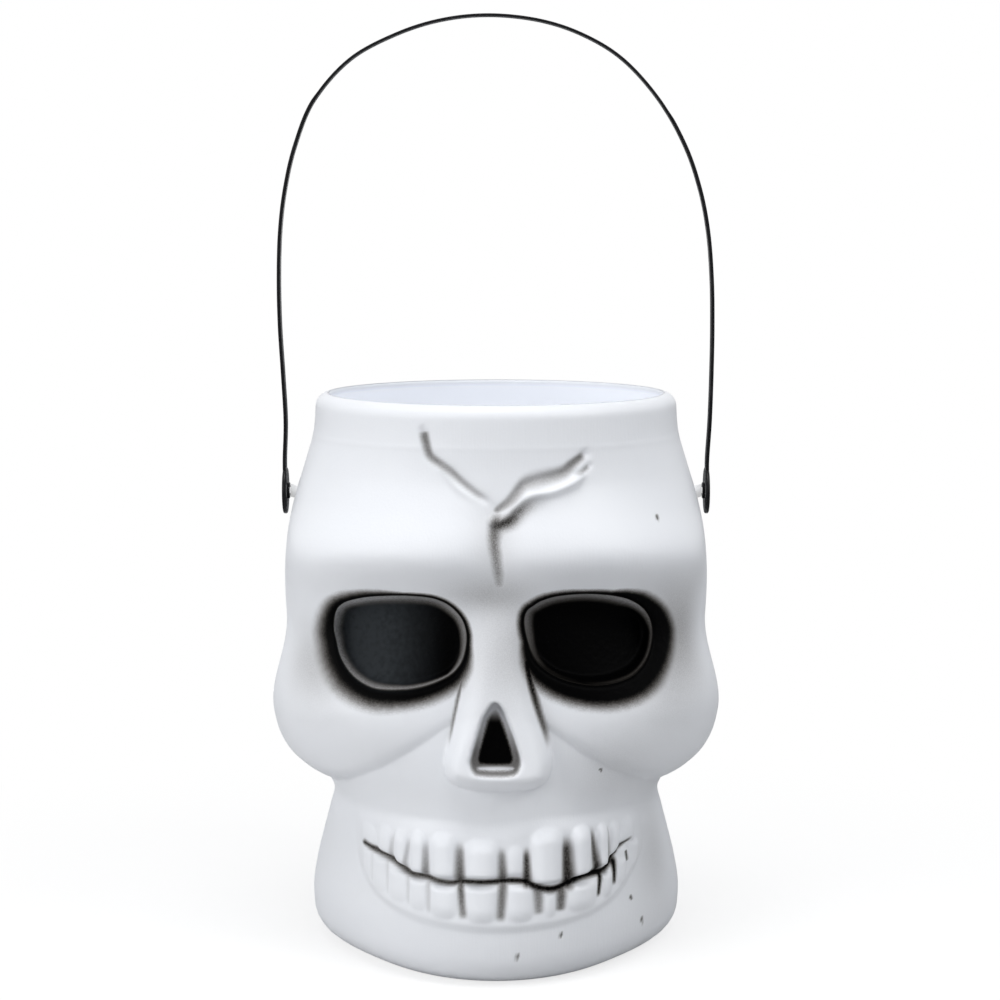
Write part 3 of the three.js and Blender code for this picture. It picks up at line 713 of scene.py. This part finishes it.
# The middle of each tiny stray drop, then the two creases beside the nose, darkened partly with
# paint and partly as painted shade, the right one more.
specks = [(44.9, 22.8), (21.1, 16.9), (48.9, 13.6), (6.8, 11.4), (34.1, 69.4), (52.6, 150.8)]
right_crease = through([(9.8, 110), (11.2, 101.2), (13.5, 91.5), (15.9, 82.8), (17, 77)], 4)
left_crease = through([(-10.4, 104), (-11.1, 101.2), (-12.9, 92), (-14.4, 82.8), (-15, 78)], 4)


def ink_line(row, fades):
    """A straight line from one row of numbers, with the fades of its two ends."""
    return np.array([row[:2], row[2:4]]), row[4:6], row[6:8], fades


# Each line has its half widths, its inks, and the shares of its length over which its ends fade.
ink_lines = [ink_line(row, (0.35, 0)) for row in upper_gaps]
ink_lines += [ink_line(row, (0, 0.2)) for row in lower_gaps]
ink_lines += [ink_line((x, z, x + 0.4, z - 0.9, 0.4, 0.3, 0.9, 0.6), (0, 0)) for x, z in specks]
ink_lines += [
    # The creases beside the nose: partly paint, partly painted shade, darker on the right, away from
    # the light.
    (right_crease, (1.4, 0.9), (1.25, 0.5), (0.15, 0.35)),
    (left_crease, (0.6, 0.5), (0.9, 0.35), (0.15, 0.35)),
    # The mouth's line is cut where its paint changes, and the crack's right arm at its widest.
    (mouth_line[:30], (1.0, 0.7), (0.85, 0.85), (0.04, 0)),
    (mouth_line[29:79], (0.65, 1.0), (0.95, 1.15), (0, 0)),
    (mouth_line[78:], (0.85, 0.45), (1.1, 0.8), (0, 0.15)),
    (crack_left, (1.2, 0.8), (0.62, 0.18), (0.04, 0.25)),
    (crack_right[:14], (0.9, 2.2), (0.62, 0.3), (0.1, 0)),
    (crack_right[13:], (2.2, 0.9), (0.3, 0.45), (0, 0)),
    (crack_branch, (0.7, 0.5), (0.4, 0.2), (0.2, 0.3)),
]


def ink_and_crease_shade_field(x, height):
    """Each line's ink is whole up to 0.15 half widths and gone at 1.9; the darkest line holds."""
    darkest = np.zeros(x.shape)
    for line, widths, strengths, (start_fade, end_fade) in ink_lines:
        gap, share = line_gap(x, height, line, 6.0)
        gap = gap / (widths[0] + (widths[1] - widths[0]) * share)
        ink = strengths[0] + (strengths[1] - strengths[0]) * share
        if start_fade:
            ink = ink * smooth(share, 0, start_fade)
        if end_fade:
            ink = ink * (1 - smooth(share, 1 - end_fade, 1))
        darkest = np.maximum(darkest, ink * (1 - smooth(gap, 0.15, 1.9)))
    return darkest


print("ink lines", len(ink_lines))

# %% [markdown]
# Two kinds of darkening are softer than the lines. Spray was caught under the crack's fork and runs
# down its stem. Broad patches on the temples, cheeks, nose and jaw are mostly painted shade, partly
# overspray beside the right eye. Both are sums of bells, which have no edge that could show.

# %% Spray at the fork, and painted shade with overspray
fork_ridge_line = through(
    [(0.6, 150.2), (4.6, 151.8), (8.4, 155.4), (12.6, 157.4), (18, 158.4), (22, 160)], 4)
fork_stem_line = through([(0.4, 151.4), (-0.6, 146), (0.2, 140), (1.0, 133), (1.2, 128)], 4)


def fork_ink_field(x, height):
    """Under the ridge 0.8 of ink that thins to its right; on the stem 0.7 that thins downwards."""
    gap, share = line_gap(x, height, fork_ridge_line)
    under = 0.8 * bell(gap, 2.2) * (1 - smooth(share, 0.05, 0.85))
    gap, share = line_gap(x, height, fork_stem_line)
    stem = (0.7 - 0.4 * share) * bell(gap, 2.3 - 0.8 * share) * (1 - smooth(share, 0.8, 1))
    return np.maximum(under, stem)


# Each row is the middle, the reach across and up, and the strength of a patch of painted shade.
shade_and_overspray_patches = [
    (61, 110, 12, 17, 0.42), (-60, 101, 11, 12, 0.28), (-4, 127.5, 15, 6, 0.2),
    (1, 109, 10, 19, 0.18), (8, 112, 5, 13, 0.1), (-0.5, 144, 6, 9, 0.12),
    (57, 90, 12, 9, 0.08), (37, 70, 14, 14, 0.12), (55.5, 34, 8.5, 17, 0.17),
]


def shade_and_overspray_field(x, height):
    """The sum of the patches, each a bell across times a bell upwards."""
    return sum(strength * bell(x - across, wide) * bell(height - level, high)
               for across, level, wide, high, strength in shade_and_overspray_patches)


print("dust patches", len(shade_and_overspray_patches))

# %% [markdown]
# ## The head as one skin
# The moulding could be built from parts and joined, but every joint would show. One grid covers it
# all: the underside, the outside, over the rolled lip, down the inside and across the inner floor.
# Rows and columns lie closer where the face has small forms.

# %% Directions and heights of the grid
def steps(stops):
    """Places from one stop to the next, each stretch cut evenly; a stop is [start, count]."""
    starts = [start for start, _ in stops]
    parts = [np.linspace(start, end, count, endpoint=False)
             for (start, count), end in zip(stops[:-1], starts[1:])]
    return np.concatenate(parts)


wall = 1.4
foot_radius = 11.0
foot_push_up = 2.5
lip_radius = 4.4
lip_level = bucket_height - lip_radius
mouth_radius = rim_width / 2 - 4.8
angles = np.radians(steps([(-180, 24), (-90, 20), (-56, 200), (56, 20), (90, 24), (180, 0)]))
side_levels = steps([(foot_radius, 5), (18, 66), (56, 6), (62, 55), (96, 56), (130, 64), (178, 6),
                     (lip_level, 0)])
inside_levels = steps([(lip_level - wall, 9), (133, 22), (90, 12), (66, 8), (foot_radius + wall, 0)])
print("directions", len(angles), "outside rows", len(side_levels))

# %% [markdown]
# The outside adds all the small forms to the plain head. They could be laid on one by one as a
# sculptor would, but as sums they can't depend on the order. Only the pressed places come last,
# because they move straight back and not along the radius.

# %% Outside of the head
face_edge = 0.2


def on_face(angle):
    """True in front, where the cosine of the direction's angle is over the face's edge."""
    return np.cos(angle) > face_edge


def face_relief(angle, height):
    """The sum of all that is raised from or pressed into the plain head along its radius."""
    x = head_radius(angle, height) * np.sin(angle)
    relief = nose_rise(x, height) + block_rise(x, height) + tooth_rise(x, height)
    relief += crack_relief(x, height) - brow_valley(x, height) - eye_bowl(x, height)
    gap, share = line_gap(x, height, mouth_line)
    relief -= 1.5 * bell(gap, 1.3) * smooth(share, 0, 0.08) * (1 - smooth(share, 0.92, 1))
    relief += 0.1 * bell(height - 173.6 - 0.8 * np.cos(angle), 0.6)
    return np.where(on_face(angle), relief, 0)


def outside(angle, height):
    """Points of the outer surface, their place across on the plain head, and the paint's measures.
    A point is at radius times sine across and minus radius times cosine back, plus the pressing."""
    radius = head_radius(angle, height)
    across = radius * np.sin(angle)
    radius = radius + face_relief(angle, height)
    x = radius * np.sin(angle)
    eyes, eye_share, eye_gap = sockets(x, height)
    hole, hole_gap = nose_hole(x, height)
    back = -radius * np.cos(angle) + np.where(on_face(angle), eyes + hole, 0)
    return np.stack([x, back, height], -1), across, (eye_share, eye_gap, hole_gap)


turn_grid, level_grid = np.meshgrid(angles, side_levels)
side_points, across, paint_measures = outside(turn_grid.ravel(), level_grid.ravel())
side_points = side_points.reshape(*turn_grid.shape, 3)
print("outside", side_points.shape, "reach", side_points.reshape(-1, 3).min(0).round(2))

# %% [markdown]
# A blown wall is about as thick everywhere, so the inside follows the outside. Solidify could add it,
# but it would fold over itself behind the small forms of the face. The inner rows are worked out from
# the plain head instead, with a smooth cup behind each socket and the nose hole.

# %% Foot, lip and inside of the head
def circle(radius, height):
    """One row of the grid: the points at a radius, or at one for each direction, and a height."""
    x, y = radius * np.sin(angles), -radius * np.cos(angles)
    return np.stack([x, y, np.full(angles.shape, height)], -1)


def ring(inset, height, level):
    """A row whose radius is that of the head at a level, drawn in by the inset."""
    return circle(head_radius(angles, np.full(angles.shape, level)) - inset, height)


def quarter(count):
    """Angles from 0 to a quarter of a turn."""
    return np.linspace(0, np.pi / 2, count + 1)


cup_growth = 2.4 * wall


def inner_ring(height):
    """A row of the inner surface: one wall, measured square to the slope, behind the outer one."""
    level = np.full(angles.shape, height)
    slope = (head_radius(angles, level + wall) - head_radius(angles, level - wall)) / (2 * wall)
    radius = head_radius(angles, level) - wall * np.hypot(1, slope)
    plain_x = radius * np.sin(angles)
    hollows = brow_valley(plain_x, level) + 1.3 * eye_bowl(plain_x, level)
    radius = radius - np.where(on_face(angles), hollows, 0)
    x = radius * np.sin(angles)
    pressed = sockets(x, level, cup_growth)[0] + nose_hole(plain_x, level, cup_growth)[0]
    back = np.where(on_face(angles), pressed, 0) - radius * np.cos(angles)
    return np.stack([x, back, level], -1)


base_rows = [circle(0, foot_push_up)]
base_rows += [ring(inset, height, foot_radius)
              for inset, height in [(40, foot_push_up), (24, foot_push_up), (19, 0.9), (16, 0)]]
base_rows += [ring(foot_radius * (1 - np.sin(t)), foot_radius * (1 - np.cos(t)), foot_radius)
              for t in quarter(8)[:-1]]
lip_rows = [ring(lip_radius * (1 - np.cos(t)), lip_level + lip_radius * np.sin(t), lip_level)
            for t in quarter(7)]
lip_rows += [circle(mouth_radius + extra, bucket_height - drop)
             for extra, drop in [(0.5, 0), (0.1, 0.3), (0, 1), (0.6, 2.6)]]
inner_rows = [inner_ring(height) for height in inside_levels]
inner_foot = foot_radius - wall
inner_floor = foot_push_up + wall
inner_rows += [ring(foot_radius - inner_foot * np.cos(t), foot_radius - inner_foot * np.sin(t),
                    foot_radius) for t in quarter(4)]
inner_rows += [ring(24, inner_floor, foot_radius), ring(40, inner_floor, foot_radius),
               circle(0, inner_floor)]
skin_rows = np.concatenate([base_rows, side_points, lip_rows, inner_rows])
print("rows", len(skin_rows), "faces", len(skin_rows) * len(angles))

# %% [markdown]
# ## From grid to mesh
# A grid could be left open at its ends, but an open skin can't be printed or weighed. The first and
# the last row are each one point, where a fan of triangles closes the mesh. The order of the corners
# makes every face look outwards, which the volume's sign proves.

# %% Meshes from grids
def closed_skin(name, rows):
    """A mesh from rows of points: quads between rows, and fans to the single points at both ends."""
    count = rows.shape[1]
    points = np.concatenate([rows[0, :1], rows[1:-1].reshape(-1, 3), rows[-1, :1]])
    here = np.arange(count)
    after = (here + 1) % count
    start = 1 + np.arange(rows.shape[0] - 3)[:, None] * count
    quads = np.stack([start + here, start + after, start + count + after, start + count + here], -1)
    top = len(points) - 1
    first = np.stack([np.zeros(count, int), after + 1, here + 1], -1)
    last = np.stack([top - count + here, top - count + after, np.full(count, top)], -1)
    mesh = bpy.data.meshes.new(name)
    faces = first.tolist() + quads.reshape(-1, 4).tolist() + last.tolist()
    mesh.from_pydata((points * MM).tolist(), [], faces)
    mesh.polygons.foreach_set("use_smooth", np.ones(len(mesh.polygons), bool))
    piece = bpy.data.objects.new(name, mesh)
    bpy.context.scene.collection.objects.link(piece)
    return piece


def volume(piece):
    """The count of triangles, and the volume in cubic centimetres: the sum of a . (b x c) / 6 over
    the triangles, above zero where faces look outwards."""
    mesh = piece.data
    mesh.calc_loop_triangles()
    corners = np.empty(len(mesh.loop_triangles) * 3, np.int32)
    mesh.loop_triangles.foreach_get("vertices", corners)
    points = np.empty(len(mesh.vertices) * 3, np.float32)
    mesh.vertices.foreach_get("co", points)
    a, b, c = points.reshape(-1, 3)[corners.reshape(-1, 3)].astype(float).transpose(1, 0, 2)
    return len(mesh.loop_triangles), round(float((a * np.cross(b, c)).sum() / 6 * 1e6), 2)


def mark(piece, name, values):
    """Stores a number at each vertex for the material to read."""
    field = piece.data.attributes.new(name, "FLOAT", "POINT")
    field.data.foreach_set("value", np.asarray(values, np.float32))


skin = closed_skin("moulded_head", skin_rows)
print("moulded head triangles and volume", volume(skin))

# %% [markdown]
# ## Places marked for the paint
# Paint has to know where the sockets, gaps and cracks are. A picture wrapped round the head would
# blur on its steep walls, so the numbers are worked out at every vertex and stored there under a
# name, which the finish reads.

# %% Spray and wear round the eyes
# Going round each eye, from the ear side over the brow.
spray_turns = np.radians([0, 45, 68, 90, 135, 180, 225, 270, 315])
# For each eye at those turns: how far outside the rim the solid paint ends and where the spray has
# faded out, how wide the paler band inside the rim is, and how much less paint that band has.
eye_rows = {
    -1: [(2.3, 0.5, 0.45, 0.4, 0.5, 0.6, 1.5, 2.2, 2.3),
         (9, 5, 3.2, 1.6, 2.1, 2.5, 6.5, 7.6, 10.2),
         (3.2, 4.8, 4.8, 4.8, 4.4, 2.6, 0.7, 1.1, 2),
         (0.6, 0.72, 0.7, 0.66, 0.6, 0.42, 0.5, 0.45, 0.5)],
    1: [(5.6, 2.5, 0.6, 0.4, 0.7, 0.7, 3, 4.1, 5.2),
        (9, 6.3, 2.7, 2.2, 3.2, 3.1, 7.6, 9, 11),
        (1.4, 4.8, 4.6, 4.4, 4.4, 2.8, 0.9, 0.6, 0.9),
        (0.26, 0.62, 0.56, 0.5, 0.56, 0.32, 0.04, 0, 0.12)],
}


def eye_paint(across, height, eye_gap):
    """The spray's fading, as (gap - start) / (end - start), the paler band's width and its loss."""
    measures = np.ones((3, len(height)))
    for side, rows in eye_rows.items():
        out, up = round_eye(across, height, side)
        turn = np.arctan2(up, out)
        starts, ends, band, rim_loss = (np.interp(turn, spray_turns, row, period=2 * np.pi)
                                    for row in rows)
        spray = (eye_gap - starts) / (ends - starts)
        measures = np.where(side * across > 0, [spray, band, rim_loss], measures)
    return measures


print("turns round each eye", len(spray_turns))

# %% Marks on the skin
def first_vertex(row):
    """Where a row of the grid starts in the mesh, whose pole is one vertex."""
    return 1 + (row - 1) * len(angles)


def over_skin(values, elsewhere):
    """Spreads the outside's numbers over the whole mesh, with one value for the rest."""
    full = np.full(len(skin.data.vertices), float(elsewhere))
    start = first_vertex(len(base_rows))
    full[start:start + len(values)] = values
    return full


turn, level = turn_grid.ravel(), level_grid.ravel()
eye_share, eye_gap, hole_gap = paint_measures
spray, band, rim_loss = eye_paint(across, level, eye_gap)
# Each row is the name, its number on the face, and its number everywhere else.
face_marks = [
    ("eye_gap", eye_gap, far_away), ("eye_spray", spray, 2), ("eye_band", band, 1),
    ("eye_rim_loss", rim_loss, 0), ("hole_gap", hole_gap, far_away),
    ("ink", ink_and_crease_shade_field(across, level), 0), ("fork", fork_ink_field(across, level), 0),
    # Painted shade, partly overspray, in broad patches on the face.
    ("overspray_and_shade", smooth(np.cos(turn), face_edge, 0.5) * shade_and_overspray_field(across, level), 0),
    # A painted reflection on the left socket's outer floor.
    ("painted_sheen", smooth(-across, 16, 44) * eye_share, 0),
]
for name, values, elsewhere in face_marks:
    mark(skin, name, over_skin(np.where(on_face(turn), values, elsewhere), elsewhere))
inside = np.zeros(len(skin.data.vertices))
inside[first_vertex(len(base_rows) + len(side_levels) + len(lip_rows) - 1):] = 1
mark(skin, "inside", inside)
print("marks", list(skin.data.attributes.keys())[-len(face_marks) - 1:])

# %% [markdown]
# ## Finish of the head
# Blow-moulded polyethylene is a satin white with fine upright streaks from the mould. The paint on it
# is sprayed by hand. One shader could change its colour from place to place, but paint also has its
# own gloss and skin. So both have a shader, and one number, the share of paint, mixes them. That
# number comes first, and noise at three sizes makes its edges grainy.

# %% Grain for the edges of the paint
head_finish, finish = new_finish("satin_white_with_spray")
place = finish.place()
fine_grain = finish.grain(place, 1400.0)
fine = fine_grain - 0.5
finest = finish.grain(place, 2600.0) - 0.5
coarse = finish.grain(place, 420.0) - 0.5


def marked(name):
    """A number that is stored on the skin."""
    return finish.value("ShaderNodeAttribute", {"attribute_name": name}, None, "Fac")


print("grain of the paint ready")

# %% [markdown]
# Round a socket the spray fades out over a few millimetres. Just inside the rim a paler band has less
# paint, with the width and loss that were marked, and inside it the paint is whole. Paint and white
# are shares from 0 to 1, so two layers add up as 1 - (1 - first) (1 - second).

# %% Paint in and round the sockets
outside_rim = marked("eye_gap")
inside_rim = 0 - outside_rim
reach = marked("eye_spray") + finest * 0.3 + coarse * 0.12
halo = (1 - finish.fade(reach, 0, 1)) * finish.fade(outside_rim, -0.3, 0.15)
rim_band = 1 - finish.fade(inside_rim / marked("eye_band"), 0.25, 1.0)
rim_paint_loss = finish.fade(inside_rim, -0.15, 0.35) * rim_band * marked("eye_rim_loss")
inner = (1 - finish.fade(outside_rim, -0.1, 0.3)) * (1 - rim_paint_loss * (1 + fine * 0.8))
# Broad patches of painted shade, partly overspray, less where the halo already is.
overspray_and_shade_share = marked("overspray_and_shade") * (0.8 + finest * 0.8) * (1 - halo)
around = (halo + overspray_and_shade_share).least(1)
socket_paint = 1 - (1 - around) * (1 - inner)
print("socket paint ready")

# %% [markdown]
# The nose hole's wall took little paint, most of it low down, and its core is black. A ledge at its
# foot is left nearly white with fine ripples, a painted highlight where the black ledge catches the
# light. They could be a bump texture, but they follow the height, so a sine of it draws them.

# %% Paint in the nose hole
inside_hole = 0 - (marked("hole_gap") + fine * 0.6)
height = finish.value("ShaderNodeSeparateXYZ", None, {0: place}, "Z")


def below(low, high):
    """1 under the lower height in metres, 0 over the higher one."""
    return 1 - finish.fade(height, low, high)


hole_wall = finish.fade(inside_hole, -0.7, 0.8) * (0.12 + below(0.074, 0.089) * 0.5)
hole_core = finish.fade(inside_hole, 0.9, 3.0) * below(0.086, 0.092)
# The ledge is left nearly white as a painted highlight, with painted glints in ripples.
ledge = below(0.0724, 0.073) * finish.fade(inside_hole, 0.7, 1.5)
painted_highlight_ripple = (height * 5200).sine() * 0.14 + 0.1
hole_paint = (hole_wall * (1 + fine * 0.25)).most(hole_core) * (1 - ledge) + painted_highlight_ripple * ledge
print("nose hole paint ready")

# %% The share of paint at each place
# Ink of the lines, together with the painted shade in the nose's creases.
inked_lines_and_crease_shade = marked("ink") * (1 + fine * 0.5)
sprayed = marked("fork") * (1 + finest * 1.2 + coarse * 0.4)
painted = socket_paint.most(hole_paint).most(inked_lines_and_crease_shade).most(sprayed).most(0).least(1)
print("share of paint ready")

# %% [markdown]
# The white is blended between two near tones in soft clouds, and thin paint over it looks brownish.
# Streaks are noise squeezed along the height. They could be bump alone, but real ones also change the
# gloss a little, so they feed both.

# %% White plastic
milk = finish.blend(finish.grain(place, 28.0, 3.0), (0.835, 0.85, 0.885, 1), (0.865, 0.875, 0.9, 1))
thin_paint = finish.blend(painted, milk, (0.3, 0.265, 0.23, 1))
upright = finish.first("ShaderNodeMapping", None, {"Vector": place, "Scale": (1, 1, 0.06)})
streaks = finish.grain(upright, 1500.0)
# The inside glows a little: painted light, an emission that stands in for the light the thin wall
# lets through.
painted_inner_glow = finish.blend(marked("inside"), (0, 0, 0, 1), (0.15, 0.155, 0.165, 1))
plastic = finish.first("ShaderNodeBsdfPrincipled", None, {
    "Base Color": thin_paint, "Roughness": 0.4 + streaks * 0.08, "Specular IOR Level": 0.35,
    "Normal": finish.bump(streaks * 0.6 + fine_grain * 0.4, 0.35, 0.0002),
    "Emission Color": painted_inner_glow, "Emission Strength": 1.0})
print("white plastic ready")

# %% [markdown]
# Sprayed paint dries with a skin like orange peel, which its bump shows. The left socket's outer
# floor is painted a lighter bluish grey where it was marked, a painted reflection of the lamp on the
# left, grained by the same peel.

# %% Black paint over it
orange_peel = finish.grain(place, 520.0, 1.0)
# Painted reflection: the black turns bluish grey where it was marked.
painted_sheen_share = marked("painted_sheen") * (0.6 + orange_peel * 0.8)
black_and_painted_reflection = finish.blend(painted_sheen_share, (0.0004, 0.0004, 0.0005, 1), (0.032, 0.036, 0.04, 1))
black = finish.first("ShaderNodeBsdfPrincipled", None, {
    "Base Color": black_and_painted_reflection, "Roughness": 0.45 + fine_grain * 0.08, "Specular IOR Level": 0.02,
    "Normal": finish.bump(orange_peel, 0.5, 0.0004)})
finish.show(finish.mix(painted, plastic, black))
skin.data.materials.append(head_finish)
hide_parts("bucket_shell")
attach(skin, "bucket")
print("head finish nodes", len(finish.tree.nodes))

# %% [markdown]
# ## Strap
# The handle is a flat moulded band, wider at the grip, with a round paddle at each end. A curve with
# a bevel would give a round cord, so the band is a round-cornered section carried along one line.

# %% Line of the strap
running_gap = 0.3
bulb_length = 0.4
grip_thickness = 0.9
strap_thickness = 0.8
paddle_thickness = 1.4
strap_inside = stud_end - bulb_length - running_gap
strap_end_side = strap_inside + paddle_thickness / 2
strap_rise = strap_top - grip_thickness / 2 - pivot_height
strap_bow = 1.2
# Each row is [share of the half width, share of the rise], from the left end over the top.
strap_shares = [
    (-0.978, 0.15), (-0.988, 0.25), (-1, 0.35), (-1.003, 0.45), (-0.995, 0.55), (-0.97, 0.64),
    (-0.922, 0.73), (-0.835, 0.824), (-0.67, 0.908), (-0.46, 0.96), (-0.25, 0.99), (-0.03, 1),
    (0.2, 0.989), (0.4, 0.959), (0.583, 0.908), (0.75, 0.824), (0.868, 0.73), (0.938, 0.64),
    (0.978, 0.55), (0.997, 0.45), (1.002, 0.35), (1, 0.25), (0.994, 0.15),
]
start_rises = [0, 0.035 * strap_rise, 0.07 * strap_rise]
strap_points = [(-strap_end_side, rise) for rise in start_rises]
strap_points += [(across * (strap_end_side + strap_bow), up * strap_rise)
                 for across, up in strap_shares]
strap_points += [(strap_end_side, rise) for rise in start_rises[::-1]]


def even(line, count):
    """The same line cut into stretches of equal length."""
    passed = np.concatenate([[0], np.cumsum(np.linalg.norm(np.diff(line, axis=0), axis=1))])
    places = np.linspace(0, passed[-1], count)
    return np.stack([np.interp(places, passed, line[:, axis]) for axis in range(2)], -1)


strap_line = even(through(strap_points, 20), 361)
print("strap ends", round(strap_end_side, 2), "mm from the middle, rise", round(strap_rise, 2))

# %% Band of the strap
def band_rows(line, width, thickness, corner=0.25, per_corner=4):
    """Round-cornered rectangles square to a line, each with its own size: a corner is a quarter
    circle at half the size less its radius. What is over the strap's thickness grows outwards."""
    along = np.gradient(line, axis=0)
    along /= np.linalg.norm(along, axis=1)[:, None]
    out = np.stack([-along[:, 1], along[:, 0]], -1)
    turn = np.concatenate([np.linspace(0, np.pi / 2, per_corner) + q * np.pi / 2 for q in range(4)])
    right = np.repeat([1, -1, -1, 1], per_corner)
    front = np.repeat([1, 1, -1, -1], per_corner)
    thick = right * (thickness[:, None] / 2 - corner) + corner * np.cos(turn)
    wide = front * (width[:, None] / 2 - corner) + corner * np.sin(turn)
    thick = thick + (thickness[:, None] - strap_thickness) / 2
    x = line[:, :1] + out[:, :1] * thick
    z = line[:, 1:] + out[:, 1:] * thick + pivot_height
    return np.stack([x, -wide, z], -1)


arm_width, arm_thickness = 6, 1.12
grip_wider, grip_thinner = 1.4, 0.25
rows_in_paddle = 4
share = np.linspace(0, 1, len(strap_line))
grip = smooth(share, 0.329, 0.341) * (1 - smooth(share, 0.674, 0.686))
rows = band_rows(strap_line, arm_width + grip_wider * grip, arm_thickness - grip_thinner * grip)
rows = rows[rows_in_paddle:-rows_in_paddle]
ends = [np.repeat(row.mean(0)[None], rows.shape[1], 0) for row in (rows[0], rows[-1])]
band = closed_skin("strap_band", np.concatenate([ends[:1], rows, ends[1:]]))
print("strap band triangles and volume", volume(band))

# %% [markdown]
# Each strap end is a round paddle. A plain disc would have no room for the stud, so it is turned from
# a profile: from the bottom of the snap room, out through its narrow mouth, over the collar and round
# the paddle's edge to the middle of its outer face.

# %% Paddles
def turned(name, profile, side, segments=64):
    """A profile of (place along X, radius) turned about the pivot line: y is radius times cosine and
    z radius times sine. For the left, x and y change sign, which turns the piece round."""
    around = np.linspace(0, 2 * np.pi, segments, endpoint=False)
    x, radius = (np.array(column, float)[:, None] for column in zip(*profile))
    y = radius * np.cos(around)
    rows = np.stack([side * x + 0 * y, side * y, pivot_height + radius * np.sin(around)], -1)
    return closed_skin(name, rows)


pin_radius, bulb_radius = 1.05, 1.5
bulb_from, bulb_to = strap_inside + running_gap, strap_inside + running_gap + bulb_length
collar_face = strap_inside - 0.8
paddle_radius = 8.0
paddle_face = strap_inside + paddle_thickness
paddle_profile = [
    (bulb_to + running_gap, 0), (bulb_to + running_gap, bulb_radius + running_gap),
    (strap_inside, bulb_radius + running_gap), (strap_inside, pin_radius + running_gap),
    (collar_face, pin_radius + running_gap), (collar_face, 2.6), (collar_face + 0.25, 2.9),
    (strap_inside - 0.1, 2.9), (strap_inside, 3.1),
]
edge, bevel = 0.45, 0.13
paddle_profile += [
    (strap_inside, paddle_radius - edge), (strap_inside + bevel, paddle_radius - bevel),
    (strap_inside + edge, paddle_radius), (paddle_face - edge, paddle_radius),
    (paddle_face - bevel, paddle_radius - bevel), (paddle_face, paddle_radius - edge),
    (paddle_face, 4), (paddle_face, 0),
]
paddles = [turned("left_paddle", paddle_profile, -1), turned("right_paddle", paddle_profile, 1)]
print("paddle triangles and volume", volume(paddles[0]), volume(paddles[1]))

# %% [markdown]
# ## Finish of the strap
# The strap is moulded in glossy black plastic. One even black would look like a shadow, so two scales
# of noise are laid over it: a fine grain, and scuffs from handling, a slightly rougher, greyer film.

# %% Black strap plastic
strap_finish, finish = new_finish("glossy_black_strap")
place = finish.place()
speck = finish.grain(place, 900.0)
scuffs = finish.fade(finish.grain(place, 160.0, 4.0), 0.52, 0.72)
film = finish.blend(scuffs * 0.5, (0.004, 0.004, 0.005, 1), (0.012, 0.012, 0.014, 1))
finish.show(finish.first("ShaderNodeBsdfPrincipled", None, {
    "Base Color": film, "Roughness": 0.24 + scuffs * 0.14 + speck * 0.05,
    "Specular IOR Level": 0.16, "Normal": finish.bump(speck, 0.25, 0.0001)}))
for piece in [band] + paddles:
    piece.data.materials.append(strap_finish)
    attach(piece, "handle")
    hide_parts("strap_handle")
print("strap finished")

# %% [markdown]
# ## Studs
# A white stud stands square on each sloping temple. Inside the wall it has a flat head, and outside
# its end is cut upright, where a thin pin carries the bulb that snaps into the paddle. Shank and pin
# lean differently, so each is turned about its own line.

# %% Stud shapes
lean = radians(15.3)
stud_plane = collar_face - running_gap
shank_radius = 2.15
shank_length = 2.22
seat = -(shank_length + wall + running_gap)


def stud_shank(name, side, segments=48):
    """Head and shank turned about the leaning line. The last two rings are slid along that line by
    their rise times the lean's tangent, onto the upright plane."""
    around = np.linspace(0, 2 * np.pi, segments, endpoint=False)
    profile = [(seat - 1, 0), (seat - 1, 4.1), (seat - 0.8, 4.4), (seat - 0.6, 4.5),
               (seat - 0.2, 4.5), (seat, 4.3), (seat, shank_radius), (seat + 0.3, shank_radius),
               (0, shank_radius), (0, 0)]
    along, radius = (np.array(column, float)[:, None] for column in zip(*profile))
    y = radius * np.cos(around)
    rise = radius * np.sin(around)
    along = along + 0 * y
    along[-2:] = np.tan(lean) * rise[-2:]
    x = stud_plane + along * np.cos(lean) - rise * np.sin(lean)
    z = pivot_height + along * np.sin(lean) + rise * np.cos(lean)
    return closed_skin(name, np.stack([side * x, side * y, z], -1))


pin_profile = [(stud_plane - 0.8, 0), (stud_plane - 0.8, pin_radius), (bulb_from, pin_radius),
               (bulb_from, bulb_radius - 0.1), (bulb_from + 0.1, bulb_radius),
               (bulb_to - 0.15, bulb_radius), (bulb_to, bulb_radius - 0.15), (bulb_to, 0)]
stud_pieces = {}
for word, side in (("left", -1), ("right", 1)):
    stud_pieces[word] = [stud_shank(word + "_stud_shank", side),
                         turned(word + "_stud_pin", pin_profile, side, 40)]
print("stud volumes", [volume(piece) for piece in stud_pieces["right"]])

# %% [markdown]
# ## Finish of the studs
# They are plain white plastic, a little darker than the head. Their thin ends glow in the light that
# passes through them, and a weak emission stands in for that, because real scattering is slow.

# %% White stud plastic
stud_finish, finish = new_finish("white_stud_plastic")
place = finish.place()
speck = finish.grain(place, 700.0)
cloud = finish.grain(place, 120.0, 3.0)
finish.show(finish.first("ShaderNodeBsdfPrincipled", None, {
    "Base Color": finish.blend(cloud, (0.68, 0.69, 0.72, 1), (0.74, 0.75, 0.77, 1)),
    "Roughness": 0.36 + speck * 0.1, "Specular IOR Level": 0.4,
    "Normal": finish.bump(speck, 0.25, 0.0001),
    "Emission Color": (1, 1, 1, 1), "Emission Strength": 0.42}))
for word, pieces in stud_pieces.items():
    for piece in pieces:
        piece.data.materials.append(stud_finish)
        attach(piece, "bucket")
        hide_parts(word + "_snap_stud")
print("studs finished")

# %% [markdown]
# ## Size
# The dressed bucket has to keep the packed model's size.
